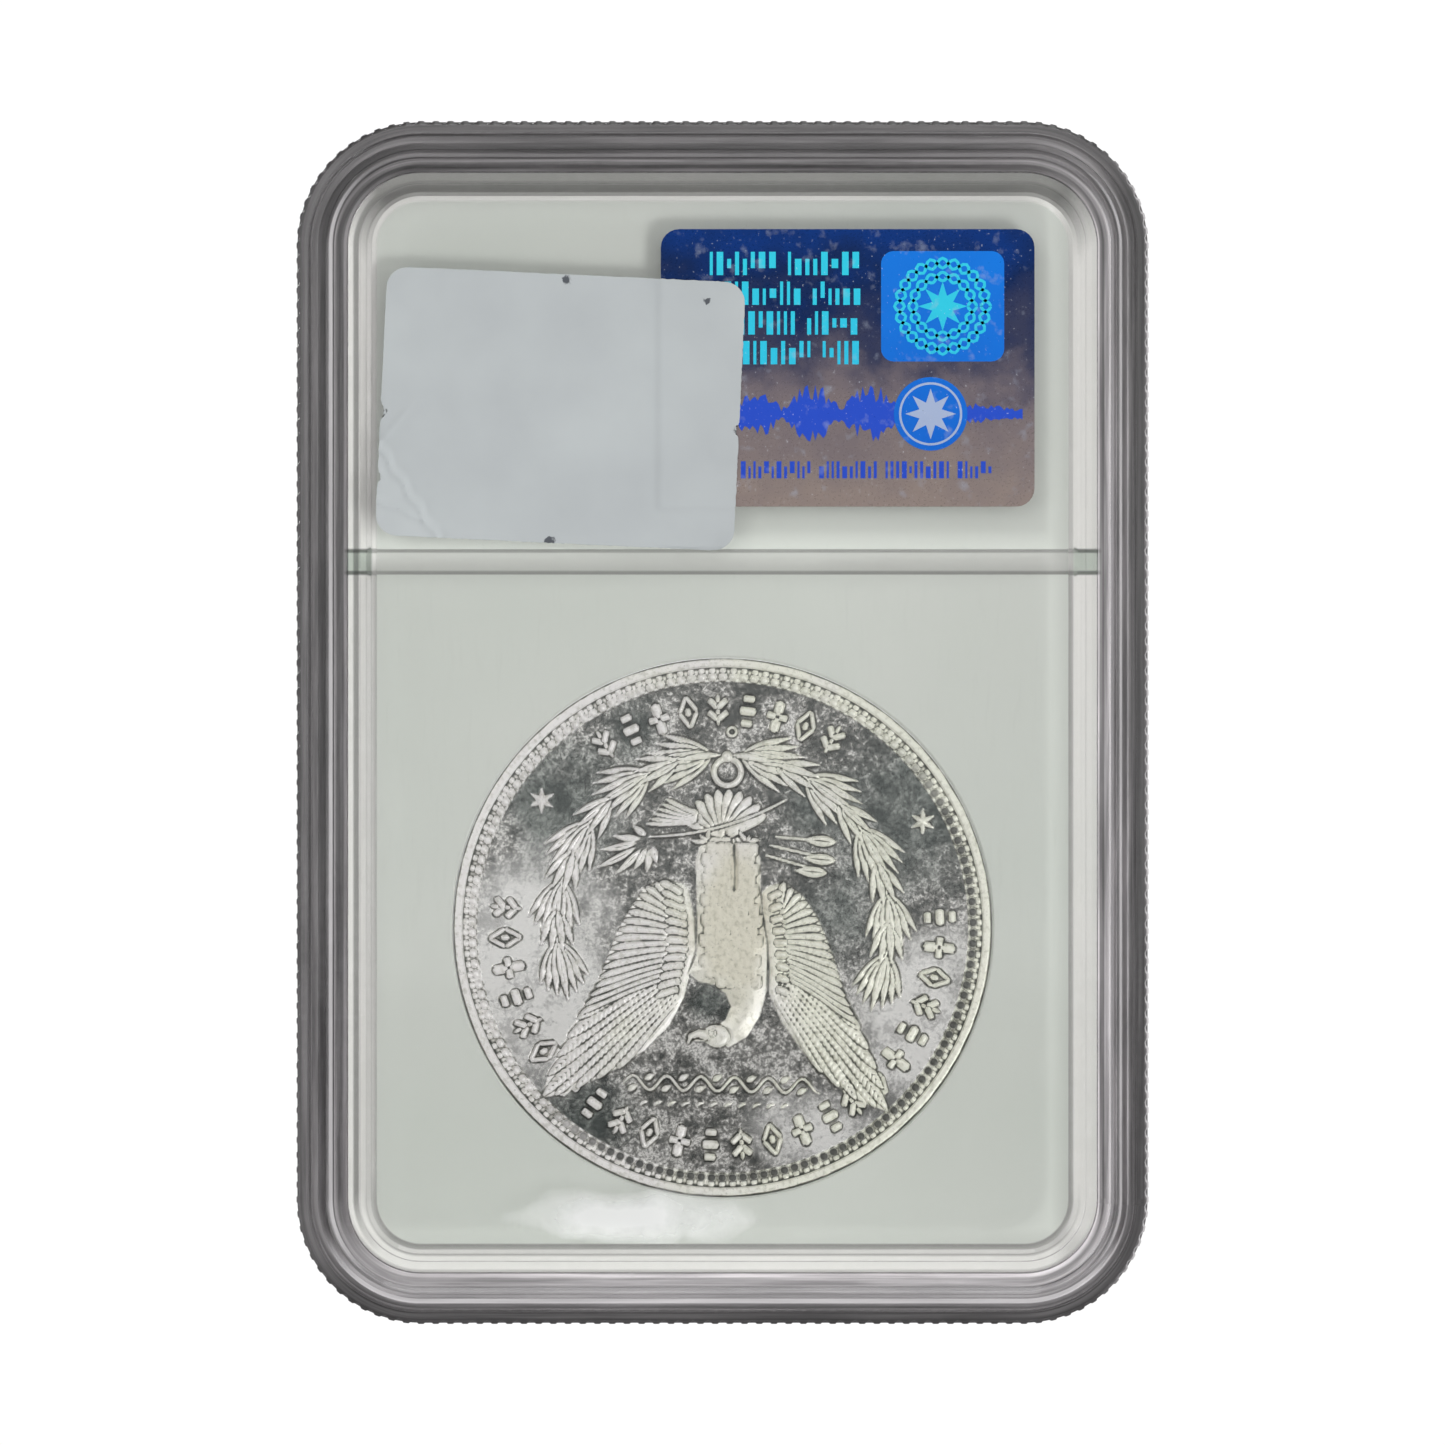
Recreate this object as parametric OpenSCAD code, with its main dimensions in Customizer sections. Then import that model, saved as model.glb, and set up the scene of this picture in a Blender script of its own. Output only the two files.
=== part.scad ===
// Graded coin slab: two clear shells welded round a white core that holds one large coin.
// The slab stands on its bottom edge. +X is to the right seen from the back, +Z is up, and
// the back faces -Y. The origin is at the middle of the bottom edge.

/* [Slab] */
// Width across the slab
slab_w = 60.2; // [55:0.1:66]
// Height of the slab
slab_h = 85; // [80:0.5:92]
// Thickness over both stacking ridges
slab_t = 8; // [7.8:0.1:9]
// Radius of the outline's corners
corner_r = 8.8; // [8:0.1:10]

/* [Side ribs] */
// Distance from one grip rib to the next
rib_pitch = 1.05; // [0.9:0.05:1.4]
// Depth of the grooves between the ribs
rib_depth = 0.22; // [0.1:0.01:0.24]
// Half width of the plain band along the weld line
land_half = 0.5; // [0.3:0.1:1]

/* [Windows] */
// Thickness of each clear pane
pane_t = 1.8; // [1.5:0.1:1.9]
// Distance from the outline to the edge of the window
window_inset = 5.3; // [5.2:0.1:6]
// Height of the middle of the cross bar
bar_z = 53.85; // [53.5:0.05:54]
// Width of the cross bar
bar_w = 1.8; // [1:0.1:2.2]
// Height of the cross bar above the pane
bar_raise = 0.25; // [0.1:0.05:0.3]

/* [Coin] */
// Diameter of the coin
coin_d = 38.1; // [36:0.1:38.6]
// Thickness of the coin over its rims
coin_t = 2.4; // [2:0.1:2.8]
// Width of the coin's raised rim
coin_rim_w = 1.05; // [0.6:0.05:1.5]
// Depth of the coin's fields below its rims
coin_field_depth = 0.2; // [0.1:0.05:0.4]
// Height of the coin's centre above the bottom edge
coin_z = 28; // [27:0.1:29]

/* [Core] */
// Thickness of the white core
core_t = 2.8; // [2.8:0.1:3]
// Gap between the coin and its hole
coin_gap = 0.05; // [0.02:0.01:0.1]
// Chamfer at both mouths of the coin hole
hole_chamfer = 0.15; // [0.05:0.05:0.3]

/* [Labels and stickers] */
// Width of the label on the front
label_w = 46; // [40:0.5:47]
// Height of the label on the front
label_h = 21; // [18:0.5:21]
// Thickness of the front label
label_t = 0.25; // [0.15:0.05:0.4]
// Width of the foil seal
seal_w = 26.4; // [24:0.1:27]
// Height of the foil seal
seal_h = 19.6; // [18:0.1:20]
// Thickness of the foil seal
seal_t = 0.1; // [0.06:0.01:0.12]
// Width of the paper sticker
sticker_w = 25.4; // [24:0.1:25.6]
// Height of the paper sticker
sticker_h = 19.05; // [18:0.05:19.2]
// Thickness of the paper sticker
sticker_t = 0.12; // [0.11:0.01:0.15]
// Turn of the paper sticker, clockwise seen from the back
sticker_turn = 2.65; // [0:0.05:4]

/* [Hidden] */
$fn = 96;

ridge_h = slab_t / 2;
core_half = core_t / 2;
pane_h = core_half + pane_t;
coin_r = coin_d / 2;
coin_half = coin_t / 2;
hole_r = coin_r + coin_gap;

// The plain wall lies just behind the rib grooves.
wall_u = rib_depth + 0.03;
rib_top = 3;
rib_root = 0.6;

// The tongue of the back shell sits in a groove of the front shell, and the weld fills the rest.
cavity_u = 3.5;
tongue_u = [1.5, 2.1];
tongue_h = 0.8;
groove_gap = 0.1;
groove_h = 1.1;
weld_h = 0.35;
groove_u = [tongue_u[0] - groove_gap, tongue_u[1] + groove_gap];

core_inset = cavity_u + 0.1;
label_z = 67.4;
label_r = 1;
label_gap = 0.2;
seal_centre = [8.84, 67.55];
seal_r = 1.3;
sticker_centre = [-11.45, 64.55];
sticker_r = 1.6;
sticker_overlap = 0.3;
overrun = 1;

// Sections of the rim, as [distance in from the outline, height from the parting plane].
// The back ridge is the outer one and the front ridge the inner one, so that slabs nest when stacked.
window_edge = [[window_inset, pane_h], [window_inset, core_half], [cavity_u, core_half], [cavity_u, 0]];
back_section = concat(
    [[wall_u, 0], [wall_u, 3], [wall_u + 0.1, 3.1], [0.85, 3.1]],
    [[1, ridge_h - 0.1], [1.1, ridge_h], [2, ridge_h], [2.15, ridge_h - 0.15]],
    [[2.7, 3.6], [4.4, 3.6], [4.5, 3.45], [window_inset - 0.3, 3.45]],
    window_edge,
    [[tongue_u[1], 0], [tongue_u[1], -tongue_h], [tongue_u[0], -tongue_h], [tongue_u[0], 0]]
);
front_section = concat(
    [[wall_u, 0], [wall_u, 3.35], [wall_u + 0.1, 3.45], [2.3, 3.45]],
    [[2.4, ridge_h - 0.1], [2.5, ridge_h], [3.3, ridge_h], [3.45, ridge_h - 0.15]],
    [[3.9, 3.45], [window_inset - 0.3, 3.45]],
    window_edge,
    [[groove_u[1], 0], [groove_u[1], groove_h], [groove_u[0], groove_h], [groove_u[0], 0]]
);
weld_section = [
    [groove_u[0], weld_h], [tongue_u[0], weld_h], [tongue_u[0], tongue_h],
    [tongue_u[1], tongue_h], [tongue_u[1], weld_h], [groove_u[1], weld_h],
    [groove_u[1], groove_h], [groove_u[0], groove_h]
];

// One pitch of the ribbed outline, as [share of the pitch, depth]: a flat tip and a V groove.
// The plain band has the tips only, so that it meets them exactly.
rib_steps = [[0.2, 0], [0.5, rib_depth], [0.8, 0]];
land_steps = [rib_steps[0], rib_steps[2]];

function rib_count(run) = round(run / rib_pitch);

function straight_steps(start, way, out, run, steps) =
    let (n = rib_count(run))
    [for (i = [0:n - 1], s = steps) start + way * run * (i + s[0]) / n - out * s[1]];

function corner_steps(centre, from, steps) =
    let (n = rib_count(corner_r * PI / 2))
    [for (i = [0:n - 1], s = steps)
        let (a = from + 90 * (i + s[0]) / n)
        centre + (corner_r - s[1]) * [cos(a), sin(a)]];

function stepped_outline(steps) =
    let (half_w = slab_w / 2, half_h = slab_h / 2)
    let (x = half_w - corner_r, y = half_h - corner_r)
    concat(
        straight_steps([half_w, -y], [0, 1], [1, 0], 2 * y, steps),
        corner_steps([x, y], 0, steps),
        straight_steps([x, half_h], [-1, 0], [0, 1], 2 * x, steps),
        corner_steps([-x, y], 90, steps),
        straight_steps([-half_w, y], [0, -1], [-1, 0], 2 * y, steps),
        corner_steps([-x, -y], 180, steps),
        straight_steps([-x, -half_h], [1, 0], [0, -1], 2 * x, steps),
        corner_steps([x, -y], 270, steps)
    );

// Everything below is drawn lying down, with the back face up, about the middle of the slab.
// stand() turns it upright onto its bottom edge.
module stand() {
    translate([0, 0, slab_h / 2])
        rotate([90, 0, 0])
            children();
}

module rounded_plate(w, h, r, t) {
    linear_extrude(t) {
        square([w - 2 * r, h], center = true);
        square([w, h - 2 * r], center = true);
        for (x = [-1, 1], y = [-1, 1])
            translate([x * (w / 2 - r), y * (h / 2 - r)])
                circle(r);
    }
}

module inset_plate(inset, t) {
    rounded_plate(slab_w - 2 * inset, slab_h - 2 * inset, corner_r - inset, t);
}

module rim_side(section, reach, run) {
    translate([reach, run / 2, 0])
        rotate([90, 0, 0])
            linear_extrude(run)
                polygon([for (p = section) [-p[0], p[1]]]);
}

module rim_corner(section) {
    translate([slab_w / 2 - corner_r, slab_h / 2 - corner_r, 0])
        rotate_extrude(angle = 90)
            polygon([for (p = section) [corner_r - p[0], p[1]]]);
}

// Carries a section once round the slab's outline.
module rim(section) {
    for (turn = [0, 180])
        rotate(turn) {
            rim_side(section, slab_w / 2, slab_h - 2 * corner_r);
            rotate(90)
                rim_side(section, slab_h / 2, slab_w - 2 * corner_r);
            rim_corner(section);
            mirror([1, 0, 0])
                rim_corner(section);
        }
}

module side_ribs() {
    difference() {
        union() {
            linear_extrude(land_half)
                polygon(stepped_outline(land_steps));
            translate([0, 0, land_half])
                linear_extrude(rib_top - land_half)
                    polygon(stepped_outline(rib_steps));
        }
        translate([0, 0, -overrun])
            inset_plate(rib_root, rib_top + 2 * overrun);
    }
}

module cross_bar(extra = 0) {
    reach = slab_w - 2 * window_inset + 0.4;
    translate([-reach / 2, bar_z - slab_h / 2 - bar_w / 2, pane_h - extra])
        cube([reach, bar_w, bar_raise + extra]);
}

module shell_body(section) {
    rim(section);
    side_ribs();
    translate([0, 0, core_half])
        inset_plate(window_inset, pane_t);
    cross_bar(pane_t / 2);
}

module back_shell() {
    color("gainsboro", 0.45)
        stand()
            shell_body(back_section);
}

module front_shell() {
    color("gainsboro", 0.45)
        stand()
            mirror([0, 0, 1])
                shell_body(front_section);
}

module weld_seam() {
    color("lightgray")
        stand()
            mirror([0, 0, 1])
                rim(weld_section);
}

// The hole for the coin, with a chamfer at each mouth.
module coin_hole() {
    translate([0, coin_z - slab_h / 2, 0])
        rotate_extrude()
            polygon([
                [0, -core_t], [hole_r + hole_chamfer, -core_t],
                [hole_r + hole_chamfer, -core_half], [hole_r, hole_chamfer - core_half],
                [hole_r, core_half - hole_chamfer], [hole_r + hole_chamfer, core_half],
                [hole_r + hole_chamfer, core_t], [0, core_t]
            ]);
}

module label_at(grow, t) {
    translate([0, label_z - slab_h / 2, -core_half])
        rounded_plate(label_w + 2 * grow, label_h + 2 * grow, label_r + grow, t);
}

module core() {
    color("ivory")
        stand()
            difference() {
                translate([0, 0, -core_half])
                    inset_plate(core_inset, core_t);
                coin_hole();
                translate([0, 0, -overrun])
                    label_at(label_gap, label_t + overrun);
            }
}

module coin() {
    field = coin_half - coin_field_depth;
    rim_in = coin_r - coin_rim_w;
    edge = 0.15;
    color("silver")
        stand()
            translate([0, coin_z - slab_h / 2, 0])
                rotate_extrude()
                    polygon([
                        [0, -field], [rim_in - edge, -field], [rim_in, -coin_half],
                        [coin_r - edge, -coin_half], [coin_r, edge - coin_half],
                        [coin_r, coin_half - edge], [coin_r - edge, coin_half],
                        [rim_in, coin_half], [rim_in - edge, field], [0, field]
                    ]);
}

module grading_label() {
    color("whitesmoke")
        stand()
            label_at(0, label_t);
}

module seal_plate(grow, t) {
    translate([seal_centre[0], seal_centre[1] - slab_h / 2, pane_h])
        rounded_plate(seal_w + 2 * grow, seal_h + 2 * grow, seal_r + grow, t);
}

module hologram_seal() {
    color("steelblue")
        stand()
            seal_plate(0, seal_t);
}

module sticker_plate(t) {
    translate([sticker_centre[0], sticker_centre[1] - slab_h / 2, pane_h])
        rotate(-sticker_turn)
            rounded_plate(sticker_w, sticker_h, sticker_r, t);
}

// The paper lies on the pane and steps up over the edge of the foil seal.
module price_sticker() {
    color("lightsteelblue")
        stand()
            difference() {
                union() {
                    sticker_plate(sticker_t);
                    intersection() {
                        sticker_plate(seal_t + sticker_t);
                        seal_plate(sticker_overlap, seal_t + sticker_t);
                    }
                }
                seal_plate(0, seal_t);
                cross_bar(overrun);
            }
}

back_shell();
front_shell();
weld_seam();
core();
coin();
grading_label();
hologram_seal();
price_sticker();
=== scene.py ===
"""Looks of the graded coin slab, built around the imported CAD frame.

The slab stands upright: +X is right and +Z is up seen from the back, and the back faces -Y.
Lengths in this file are millimetres until a mesh is made, and MM turns them into metres.
"""

import math

import bpy
import numpy as np
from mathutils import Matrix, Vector


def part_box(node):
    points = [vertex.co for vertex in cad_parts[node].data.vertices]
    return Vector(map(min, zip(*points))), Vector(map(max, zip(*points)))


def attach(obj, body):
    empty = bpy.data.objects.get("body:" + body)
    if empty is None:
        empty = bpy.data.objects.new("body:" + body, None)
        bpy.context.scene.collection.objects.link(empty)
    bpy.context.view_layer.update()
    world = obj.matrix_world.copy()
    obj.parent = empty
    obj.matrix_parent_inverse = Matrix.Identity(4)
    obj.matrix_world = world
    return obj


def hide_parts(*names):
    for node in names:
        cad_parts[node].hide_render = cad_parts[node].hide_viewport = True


MM = 0.001
SEED = 41

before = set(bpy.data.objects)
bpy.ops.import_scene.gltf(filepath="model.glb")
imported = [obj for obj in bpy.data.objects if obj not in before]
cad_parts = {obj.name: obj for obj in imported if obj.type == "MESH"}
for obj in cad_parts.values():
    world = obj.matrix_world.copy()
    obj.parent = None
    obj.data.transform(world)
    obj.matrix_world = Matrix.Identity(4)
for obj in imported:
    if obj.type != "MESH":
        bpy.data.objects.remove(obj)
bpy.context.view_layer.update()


# ---------------------------------------------------------------- sizes from the frame


def node_box(node):
    """Lowest and highest corner of a CAD node, in millimetres."""
    low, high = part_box(node)
    return np.array(low) / MM, np.array(high) / MM


def centre_xz(node):
    """Middle of a CAD node across and up."""
    low, high = node_box(node)
    return (low[[0, 2]] + high[[0, 2]]) / 2


SLAB_LOW, SLAB_HIGH = node_box("back_shell")
SLAB_W = SLAB_HIGH[0] - SLAB_LOW[0]
SLAB_H = SLAB_HIGH[2] - SLAB_LOW[2]
RIDGE_H = -SLAB_LOW[1]
CORNER_R = 8.8

# Heights off the parting plane, ending in H, and distances in from the outline, ending in U.
CORE_HALF = node_box("core")[1][1]
PANE_T = 1.8
PANE_H = CORE_HALF + PANE_T
WINDOW_U = 5.3
WINDOW_BEVEL = 0.35
CAVITY_U = 3.5
LEDGE_H = 3.45
SHELF_H = 3.6
EDGE_H = 3.1
MATE_GAP = 0.02
MATE_TOP = 1.2
GROOVE_DEPTH = 0.8
TONGUE_H = 1.1

RIB_PITCH = 1.05
RIB_DEPTH = 0.22
RIB_SAMPLES = 6
RIB_TOP = 2.95
RIB_FOOT = 0.6

BAR_Z = 53.85
BAR_W = 1.8
BAR_RAISE = 0.25

COIN_LOW, COIN_HIGH = node_box("coin")
COIN_R = (COIN_HIGH[0] - COIN_LOW[0]) / 2
COIN_HALF = COIN_HIGH[1]
COIN_CENTRE = centre_xz("coin")
COIN_TURN = math.radians(-1.3)
FIELD_DEPTH = 0.3
RELIEF_SCALE = 1.35
RIM_DROP = 0.1


# ---------------------------------------------------------------- mesh helpers


def make_mesh(name, verts_mm, faces, materials, slots=None, sharp_deg=35.0):
    """A mesh object from points in millimetres, with outward normals and smooth shading."""
    mesh = bpy.data.meshes.new(name)
    mesh.from_pydata((np.asarray(verts_mm) * MM).tolist(), [], faces)
    for mat in materials:
        mesh.materials.append(mat)
    if slots is not None:
        mesh.polygons.foreach_set("material_index", slots)
    mesh.update()
    mesh.polygons.foreach_set("use_smooth", [True] * len(mesh.polygons))
    mesh.set_sharp_from_angle(angle=math.radians(sharp_deg))
    obj = bpy.data.objects.new(name, mesh)
    bpy.context.scene.collection.objects.link(obj)
    return obj


def paint(obj, label, values):
    """Stores a number at each point of a mesh for its material to read."""
    layer = obj.data.attributes.new(label, "FLOAT", "POINT")
    layer.data.foreach_set("value", values.astype(np.float32))


def strip_faces(rows, cols, wrap_cols=False):
    """Quads of a grid of rows by cols points, numbered row by row."""
    r, c = np.meshgrid(np.arange(rows - 1), np.arange(cols if wrap_cols else cols - 1), indexing="ij")
    right = (c + 1) % cols
    quads = np.stack([r * cols + c, r * cols + right, (r + 1) * cols + right, (r + 1) * cols + c], -1)
    return quads.reshape(-1, 4)


def smooth_step(x):
    """Rises from 0 at x = 0 to 1 at x = 1 without a corner."""
    x = np.clip(x, 0, 1)
    return x * x * (3 - 2 * x)


def turned(x, z, angle):
    """Points turned counterclockwise about the origin by an angle in radians."""
    return x * math.cos(angle) - z * math.sin(angle), x * math.sin(angle) + z * math.cos(angle)


def rounded_line(corners, arc_steps=4):
    """A polyline through (a, b, radius) corners with its inner corners turned into arcs."""
    points = [np.array(corners[0][:2])]
    for before, here, after in zip(corners, corners[1:], corners[2:]):
        p = np.array(here[:2])
        to_before = np.array(before[:2]) - p
        to_after = np.array(after[:2]) - p
        d1 = to_before / np.linalg.norm(to_before)
        d2 = to_after / np.linalg.norm(to_after)
        half = math.acos(np.clip(d1 @ d2, -1, 1)) / 2
        if here[2] <= 0 or half > 1.56:
            points.append(p)
            continue
        room = 0.48 * min(np.linalg.norm(to_before), np.linalg.norm(to_after))
        reach = min(here[2] / math.tan(half), room)
        radius = reach * math.tan(half)
        middle = p + (d1 + d2) / np.linalg.norm(d1 + d2) * radius / math.sin(half)
        a = p + d1 * reach - middle
        b = p + d2 * reach - middle
        sweep = math.acos(np.clip(a @ b / (a @ a), -1, 1))
        for k in range(arc_steps + 1):
            t = k / arc_steps
            spoke = a * math.sin((1 - t) * sweep) + b * math.sin(t * sweep)
            points.append(middle + spoke / math.sin(sweep))
    points.append(np.array(corners[-1][:2]))
    return np.array(points)


# ---------------------------------------------------------------- material helpers

# Millimetres in from the outline at which the rim's colour bands end.
BAND_SPAN = 6.0


class Shader:
    """A material's node tree with short calls for its nodes."""

    def __init__(self, name):
        self.mat = bpy.data.materials.new(name)
        self.mat.use_nodes = True
        self.tree = self.mat.node_tree
        self.bsdf = self.tree.nodes["Principled BSDF"]
        self.out = self.tree.nodes["Material Output"]

    def set(self, **values):
        """Sets plain values on the main shader's sockets."""
        for key, value in values.items():
            self.bsdf.inputs[key.replace("_", " ").title().replace("Ior", "IOR")].default_value = value

    def node(self, kind, inputs=(), **props):
        """A new node. Each input is a value, or a socket to link from."""
        made = self.tree.nodes.new(kind)
        for key, value in props.items():
            setattr(made, key, value)
        for key, value in dict(inputs).items():
            if isinstance(value, bpy.types.NodeSocket):
                self.tree.links.new(value, made.inputs[key])
            else:
                made.inputs[key].default_value = value
        return made

    def link(self, socket, name):
        """Feeds a socket of the main shader."""
        self.tree.links.new(socket, self.bsdf.inputs[name])

    def surface(self, shader):
        """Makes a node's shader the material's surface."""
        self.tree.links.new(shader.outputs[0], self.out.inputs["Surface"])

    def place(self, scale=(1, 1, 1)):
        """Object coordinates, which are the row frame in metres, times a scale per axis."""
        coords = self.node("ShaderNodeTexCoord").outputs["Object"]
        return self.node("ShaderNodeMapping", {"Vector": coords, "Scale": scale}).outputs[0]

    def noise(self, per_mm, detail=3.0, stretch=(1, 1, 1), distortion=0.0):
        """Noise with about per_mm features to the millimetre."""
        place = self.place([1000 * s for s in stretch])
        made = self.node("ShaderNodeTexNoise", {"Vector": place, "Scale": per_mm, "Detail": detail,
                                                 "Distortion": distortion})
        return made.outputs["Fac"]

    def ramp(self, fac, *stops):
        made = self.node("ShaderNodeValToRGB", {"Fac": fac})
        elements = made.color_ramp.elements
        while len(elements) < len(stops):
            elements.new(0.5)
        for element, (place, color) in zip(elements, stops):
            element.position = place
            element.color = color if len(color) == 4 else (*color, 1)
        return made.outputs["Color"]

    def span(self, fac, low, high, to_low, to_high):
        return self.node("ShaderNodeMapRange", {"Value": fac, "From Min": low, "From Max": high,
                                                "To Min": to_low, "To Max": to_high}).outputs[0]

    def mix(self, fac, a, b, blend="MIX"):
        """A blend of two colours, which may be sockets or (red, green, blue)."""
        a, b = ((*color, 1) if isinstance(color, tuple) else color for color in (a, b))
        made = self.node("ShaderNodeMix", {0: fac, 6: a, 7: b}, data_type="RGBA", blend_type=blend)
        return made.outputs[2]

    def math(self, operation, a, b=0.0):
        return self.node("ShaderNodeMath", {0: a, 1: b}, operation=operation).outputs[0]

    def product(self, first, *others):
        """The product of plain values."""
        for other in others:
            first = self.math("MULTIPLY", first, other)
        return first

    def tinted(self, a, b):
        """The product of two colours."""
        return self.mix(1.0, a, b, "MULTIPLY")

    def grey(self, value):
        return self.node("ShaderNodeCombineColor", {0: value, 1: value, 2: value}).outputs[0]

    def axes(self):
        """Sockets with the place across, in depth and up, in millimetres."""
        return self.node("ShaderNodeSeparateXYZ", {0: self.place((1000, 1000, 1000))}).outputs

    def painted(self, label):
        """A number that paint stored at the mesh's points."""
        return self.node("ShaderNodeAttribute", attribute_name=label).outputs["Fac"]

    def distance(self, x, z, squash=1.0):
        """Distance in millimetres from the line through (x, z) across the slab, with Z stretched."""
        flat = self.place((1000, 0, 1000 * squash))
        there = (x, 0, z * squash)
        return self.node("ShaderNodeVectorMath", {0: flat, 1: there}, operation="DISTANCE").outputs["Value"]

    def patch(self, x, z, inner, outer, squash=1.0):
        """1 within inner of the line through (x, z), falling to 0 at outer, with a ragged edge."""
        away = self.distance(x, z, squash)
        ragged = self.span(self.noise(0.25, detail=6.0), 0.3, 0.7, -0.3 * outer, 0.3 * outer)
        return self.span(self.math("ADD", away, ragged), inner, outer, 1.0, 0.0)

    def bands(self, *stops):
        """Greys across the rim, given as (millimetres in from the outline, grey)."""
        fac = self.math("MULTIPLY", self.painted("inset"), 1 / BAND_SPAN)
        return self.ramp(fac, *[(u / BAND_SPAN, (grey, grey * 0.965, grey * 0.985)) for u, grey in stops])

    def streaks(self, across, along, low, high):
        """Noise drawn out along the rim, as a grey between low and high."""
        u = self.math("MULTIPLY", self.painted("inset"), across)
        v = self.math("MULTIPLY", self.painted("run"), along)
        place = self.node("ShaderNodeCombineXYZ", {0: u, 1: v}).outputs[0]
        fac = self.node("ShaderNodeTexNoise", {"Vector": place, "Scale": 1.0, "Detail": 4.0}).outputs["Fac"]
        return self.ramp(fac, (0.35, (low,) * 3), (0.65, (high,) * 3))

    def mix_shaders(self, fac, first, second):
        """Goes from the first node's shader at 0 to the second's at 1."""
        return self.node("ShaderNodeMixShader", {0: fac, 1: first.outputs[0], 2: second.outputs[0]})

    def lamps_through(self, tint):
        """Lets lamp light pass straight through, tinted, so that what lies behind is lit."""
        clear = self.node("ShaderNodeBsdfTransparent", {"Color": tint})
        shadow = self.node("ShaderNodeLightPath").outputs["Is Shadow Ray"]
        self.surface(self.mix_shaders(shadow, self.bsdf, clear))

    def bump(self, height, strength, distance_mm):
        """Roughens the surface by a height from 0 to 1."""
        made = self.node("ShaderNodeBump", {"Height": height, "Strength": strength,
                                            "Distance": distance_mm * MM})
        self.link(made.outputs[0], "Normal")


# Painted light and shade across the clear rim, set per side because light reaches its ridges differently
# from each side, as flat bands from the outline inwards: (millimetres in where the band ends, grey).
RIM_LEFT = ((0.35, 0.4), (0.8, 1.0), (1.05, 0.3), (1.5, 0.6), (2.05, 1.0), (2.25, 0.4), (2.7, 1.0),
            (3.1, 0.6), (4.0, 0.9), (4.45, 0.45), (4.9, 0.95), (5.3, 0.7), (5.6, 0.95))
RIM_RIGHT = ((0.25, 0.95), (0.8, 0.3), (1.15, 0.05), (1.45, 0.2), (2.1, 1.0), (2.3, 0.2), (2.9, 1.0),
             (3.15, 0.6), (3.5, 0.1), (5.3, 1.0), (5.6, 0.75))
RIM_TOP = ((0.25, 0.2), (0.85, 1.0), (1.15, 0.2), (2.0, 1.0), (2.3, 0.35), (2.6, 1.0), (2.8, 0.3),
           (3.1, 1.0), (3.5, 0.3), (4.25, 0.4), (5.05, 0.3), (5.6, 0.95))
RIM_BOTTOM = ((0.4, 0.2), (0.75, 0.5), (1.1, 0.1), (1.5, 0.3), (2.1, 1.0), (2.3, 0.7), (3.6, 1.0),
              (3.8, 0.7), (4.8, 1.0), (5.6, 0.6))
BAND_CHANGE = 0.1
# Lines where the rim turns partly opaque, set per side as painted highlights on its corners: (millimetres in
# from the outline, width, strength).
GLINT_LEFT = ((2.44, 0.26, 0.4),)
GLINT_RIGHT = ((0.06, 0.14, 0.5), (1.99, 0.2, 0.35), (2.62, 0.36, 0.25))
GLINT_TOP = ((2.45, 0.2, 0.1),)
GLINT_BOTTOM = ((1.66, 0.36, 0.5), (2.0, 0.2, 0.15), (2.45, 0.3, 0.22))
BAR_TINT = 0.75


def by_side(s, left, right, top, bottom):
    """Blends a colour or value per side of the slab, changing over at its corners."""
    place = s.axes()
    across = s.product(place["X"], 2 / SLAB_W)
    up = s.math("SUBTRACT", s.product(place["Z"], 2 / SLAB_H), 1.0)
    sides = s.mix(s.span(across, -0.1, 0.1, 0.0, 1.0), left, right)
    ends = s.mix(s.span(up, -0.1, 0.1, 0.0, 1.0), bottom, top)
    nearer = s.math("SUBTRACT", s.math("ABSOLUTE", across), s.math("ABSOLUTE", up))
    return s.mix(s.span(nearer, -0.08, 0.08, 0.0, 1.0), ends, sides)


def painted_shade_bands(s, side):
    """Flat bands of painted shade across one side of the rim, each changing softly into the next."""
    stops = []
    start = 0.0
    for end, grey in side:
        stops += [(start + BAND_CHANGE / 2, grey), (end - BAND_CHANGE / 2, grey)]
        start = end
    return s.bands(*stops, (start + BAND_CHANGE, BAR_TINT))


def painted_glint_lines(s, lines):
    """How opaque each of a side's painted highlight lines makes the rim, as a value across the rim."""
    stops = [(0, 0)]
    for centre, width, strength in lines:
        stops += [(max(centre + share * width, 0.001), level * strength)
                  for share, level in ((-0.6, 0), (-0.4, 1), (0.4, 1), (0.6, 0))]
    return s.bands(*stops)


def bar_painted_shade(s, tint):
    """Painted shade: darkens the rim's ledge and the lines along the cross bar where it meets them, and the
    rim's inner edge from the middle of the bar down.
    """
    inset = s.painted("inset")
    on_ledge = s.span(inset, 3.3, 3.5, 0.0, 1.0)
    up = s.math("SUBTRACT", s.axes()["Z"], BAR_Z)
    away = s.math("ABSOLUTE", up)
    off_edge = s.math("ABSOLUTE", s.math("SUBTRACT", away, BAR_W / 2 - 0.12))
    line = s.product(s.span(off_edge, 0.08, 0.2, 1.0, 0.0), on_ledge, 0.85)
    foot = s.product(s.span(up, -0.9, 0.0, 0.4, 0.0), s.span(inset, 5.2, 5.5, 0.0, 1.0))
    ledge = s.product(s.span(inset, 5.2, 5.4, 1.0, 0.0), on_ledge, s.span(away, 0.8, 0.9, 0.7, 0.0))
    for amount, shade in ((ledge, (0.6, 0.68, 0.62)), (foot, (0.4,) * 3), (line, (0.3,) * 3)):
        tint = s.mix(amount, tint, shade, "MULTIPLY")
    return tint


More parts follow.
